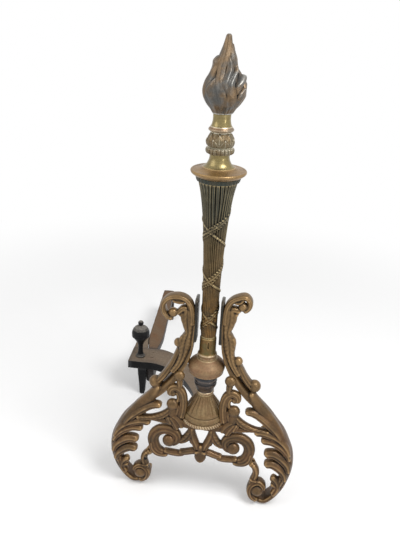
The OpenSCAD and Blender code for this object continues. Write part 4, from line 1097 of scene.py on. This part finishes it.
def armShells():
    # A flat strip of unit height follows the arm's curve, and is then set between the arm's
    # underside and top at its own depth; the eye and the tapered heel are joined on.
    path = evenly(curveThrough(arm["path"]), arm["spacing"])
    heading = headings(path[:, :2])
    side = gridOf(-heading[:, 1], heading[:, 0], 0)
    half = np.clip(path[:, 2] / 2, None, arm["padHalf"])
    shell, quads, tris = barShell(gridOf(path[:, 0], path[:, 1], 0), side, upward, half,
                                  halfThick=1.0, radius=0.18, seed=5, hammer=0.0)
    low = np.interp(shell[:, 1], arm["slope"], [arm["under"], arm["padUnder"]])
    high = np.interp(shell[:, 1], arm["slope"], [arm["top"], arm["padTop"]]) - arm["sunk"]
    waves = np.clip(unevenness(shell * [1, 1, 0], arm["dentSize"], 7), -1, 1)
    dent = arm["dents"] * (0.5 + 0.5 * waves)
    shell[:, 2] = low + (shell[:, 2] + 1) / 2 * (high - low - dent)
    shell[:, 0] = np.maximum(shell[:, 0], arm["padLeft"])
    shell[:, 1] = np.minimum(shell[:, 1], arm["padEnd"])
    inner, outer, tall = boreRadius + 1, arm["eyeRadius"], arm["eyeTall"]
    eye = turnedShell(arm["under"], [(inner, 0), (outer, 0), (outer, tall), (inner, tall)], 96,
                      spacing=0.6)
    y = np.linspace(arm["heelLeft"][0][0], arm["heelLeft"][-1][0], 24)
    left, right = (np.interp(y, *np.array(arm[part]).T) for part in ("heelLeft", "heelRight"))
    heel = barShell(gridOf((left + right) / 2, y, arm["heelMiddle"]), rightward, upward,
                    (right - left) / 2, arm["heelHalf"], radius=1.2, seed=12, hammer=0.4)
    return [(shell, quads, tris), eye, heel]


addPiece("ironArm", armShells(), "blackIron", "iron_arm", (4, 0.5))

bar = dict(start=(-134.0, 285.0), length=286.0, splay=3.2, corner=2.4,
           half=[(0, 8.5), (27.5, 13), (55, 15), (286, 12)],     # walk, half width in mm
           thick=16.0, top=80.0, bend=22.0, tongueX=-130.5, tongueWide=14.0, tongueCorner=4.0,
           tongueLow=31.0, tongueHigh=63.8, tongueFrom=241.0, tongueTo=305.0)


def barPath():
    # Straight along the top, a quarter circle, then straight down to the floor.
    middle = bar["thick"] / 2
    radius = bar["bend"] - middle
    turn = bar["length"] - bar["bend"]
    a = np.linspace(0, math.pi / 2, 14)
    along = np.concatenate([[0, turn / 2], turn + radius * np.sin(a), [turn + radius]])
    level = np.concatenate([[bar["top"] - middle] * 2,
                            bar["top"] - bar["bend"] + radius * np.cos(a), [0]])
    return evenly(np.stack([along, level], axis=1), 3.0)


def logBarShells():
    # The bar follows its path, splayed out a little, and its tongue is a block under the pad.
    line = barPath()
    heading = headings(line)
    splay = math.radians(bar["splay"])
    out = np.array([-math.sin(splay), math.cos(splay)])
    centre = np.column_stack([np.array(bar["start"]) + line[:, :1] * out, line[:, 1]])
    up = np.column_stack([-heading[:, 1:2] * out, heading[:, 0]])
    wide = np.interp(line[:, 0], *np.array(bar["half"]).T)
    main = barShell(centre, (math.cos(splay), math.sin(splay), 0.0), up, wide, bar["thick"] / 2,
                    bar["corner"], seed=21)
    main[0][:, 1] = np.maximum(main[0][:, 1], bar["start"][1])
    y = np.linspace(bar["tongueFrom"], bar["tongueTo"], 24)
    low, high = bar["tongueLow"], bar["tongueHigh"]
    tongue = barShell(gridOf(bar["tongueX"], y, (low + high) / 2), rightward, upward,
                      bar["tongueWide"] / 2, (high - low) / 2, bar["tongueCorner"], seed=33,
                      hammer=0.3)
    return [main, tongue]


addPiece("logBar", logBarShells(), "rustyBar", "log_bar", (4, 0.5))

ironLeg = dict(x=-145.8, y=244.0, topWide=18.0, footWide=10.6, top=64.0, corner=1.8,
               footRound=2.4, footTall=4)


def ironLegShells():
    # A square bar that widens upwards, its foot rounded off over the lowest millimetres.
    tall, top, foot = ironLeg["footTall"], ironLeg["top"], ironLeg["footWide"] / 2
    z = np.concatenate([np.linspace(0, tall, 5), np.linspace(tall + 3, top, 24)])
    half = np.interp(z, [0, 1, tall, top], [foot - ironLeg["footRound"],
                                            foot - ironLeg["footRound"] / 2, foot,
                                            ironLeg["topWide"] / 2])
    return [barShell(gridOf(ironLeg["x"], ironLeg["y"], z), rightward, (0.0, -1.0, 0.0), half, half,
                     ironLeg["corner"], seed=44, hammer=0.5)]


addPiece("ironLeg", ironLegShells(), "blackIron", "front_iron_leg", (4, 0.5))

stop = dict(x=-152.5, y=253.0, foot=80.0, turns=96, outline=[
    (0.6, -16), (3.5, -16), (3.5, -1), (9.2, 0.1), (9.5, 1), (8, 2.6), (5.8, 6), (4.7, 11),
    (4.4, 18), (4.9, 25), (6.8, 31), (10, 36), (14, 41.6), (15.3, 43), (16.8, 44.6),
    (16.9, 46.2), (16.3, 47), (17, 50), (16.6, 54.2), (14.8, 59), (11.6, 63), (7.4, 65.6),
    (4, 66.6), (2.7, 67.2), (2.9, 68), (4.8, 69.6), (5.4, 72), (4.9, 74.4), (3.4, 76.4),
    (0.6, 77.3)])


def stopShell():
    # Turned about its own upright axis, closed at the top and in the pad.
    outer = softened(stop["outline"], spacing=0.5, softness=0.45)
    angle = np.arange(stop["turns"])[None, :] * tau / stop["turns"]
    radius = np.clip(outer[:, :1], 0.3, None)
    return cappedShell(gridOf(stop["x"] + radius * np.sin(angle),
                              stop["y"] - radius * np.cos(angle), stop["foot"] + outer[:, 1:]))


addPiece("ballStop", [stopShell()], "ballIron", "ball_stop", (5, 0.5))
for nodeName in ("tie_rod", "tie_washer", "tie_nut", "leg_screws", "lap_rivets"):
    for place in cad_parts[nodeName].material_slots:
        place.material = finishes["blackIron"]
print("iron dog made")


stage = dict(floorSize=14.0, fadeFrom=0.4, fadeTo=1.15, glow=0.14, ambient=0.57, lamps=[
    # name, place, target, disc and power
    ("keyLamp", (0.9, -0.9, 1.9), (0, -0.2, 0.3), 0.9, 24.0),
    ("fillLamp", (-1.3, -0.9, 1.3), (0, -0.2, 0.35), 1.2, 7.2),
    ("stripLamp", (0.9, -1.0, 0.55), (0, -0.27, 0.5), 0.22, 1.6)])
# the photograph's view; the focal length and the frame's height are in pixels
view = dict(focal=620, frameHeight=533, sensor=36, nearest=0.05, place=(0.082, -1.0365, 0.727),
            forward=(-0.100, 0.912, -0.398), right=(0.990, 0.130, 0.049))
white = (1, 1, 1, 1)


def freshTree(owner):
    owner.use_nodes = True
    owner.node_tree.nodes.clear()
    return owner.node_tree


def seenDirectly(tree):
    # 1 for camera, glossy and transmission rays: what shows the plain background.
    path = tree.nodes.new("ShaderNodeLightPath").outputs
    seen = maths(tree, "MAXIMUM", path["Is Camera Ray"], path["Is Glossy Ray"])
    return maths(tree, "MAXIMUM", seen, path["Is Transmission Ray"])


def mixedShader(tree, share, first, second, outKind):
    mix = addNode(tree, "MixShader", {0: share, 1: first.outputs[0], 2: second.outputs[0]})
    addNode(tree, outKind, {0: mix.outputs[0]})


def makeWorld():
    world = bpy.data.worlds.new("studio")
    tree = freshTree(world)
    soft = addNode(tree, "Background", {"Color": white, "Strength": stage["ambient"]})
    plain = addNode(tree, "Background", {"Color": white, "Strength": 1.0})
    mixedShader(tree, seenDirectly(tree), soft, plain, "OutputWorld")
    bpy.context.scene.world = world


def makeFloor():
    half = stage["floorSize"] / 2
    mesh = bpy.data.meshes.new("floor")
    mesh.from_pydata([(-half, -half, 0), (half, -half, 0), (half, half, 0), (-half, half, 0)],
                     [], [(0, 1, 2, 3)])
    made = bpy.data.materials.new("paleFloor")
    tree = freshTree(made)
    place = tree.nodes.new("ShaderNodeTexCoord").outputs["Object"]
    distance = addNode(tree, "VectorMath", {0: place}, operation="LENGTH").outputs["Value"]
    far = maths(tree, "MAXIMUM", ranged(tree, distance, stage["fadeFrom"], stage["fadeTo"]),
                stage["glow"])
    paint = addNode(tree, "BsdfDiffuse", {"Color": white})
    glow = addNode(tree, "Emission", {"Color": white, "Strength": 1.0})
    mixedShader(tree, maths(tree, "MULTIPLY", far, seenDirectly(tree)), paint, glow,
                "OutputMaterial")
    mesh.materials.append(made)
    inScene("floor", mesh)


def makeLamp(name, place, target, size, power):
    lamp = bpy.data.lights.new(name, "AREA")
    lamp.shape = "DISK"
    lamp.size = size
    lamp.energy = power
    holder = inScene(name, lamp)
    holder.location = place
    holder.rotation_euler = (Vector(target) - Vector(place)).to_track_quat("-Z", "Y").to_euler()


def makeCamera():
    camera = bpy.data.cameras.new("camera")
    camera.sensor_fit = "VERTICAL"
    camera.sensor_height = view["sensor"]
    camera.lens = view["focal"] / view["frameHeight"] * view["sensor"]
    camera.clip_start = view["nearest"]
    forward, right = Vector(view["forward"]).normalized(), Vector(view["right"])
    right = (right - forward * right.dot(forward)).normalized()
    turn = Matrix((right, right.cross(forward), -forward)).transposed()
    holder = inScene("camera", camera)
    holder.matrix_world = Matrix.Translation(view["place"]) @ turn.to_4x4()
    bpy.context.scene.camera = holder


makeWorld()
makeFloor()
for lamp in stage["lamps"]:
    makeLamp(*lamp)
makeCamera()
bpy.context.scene.view_settings.view_transform = "Standard"
print("stage set")
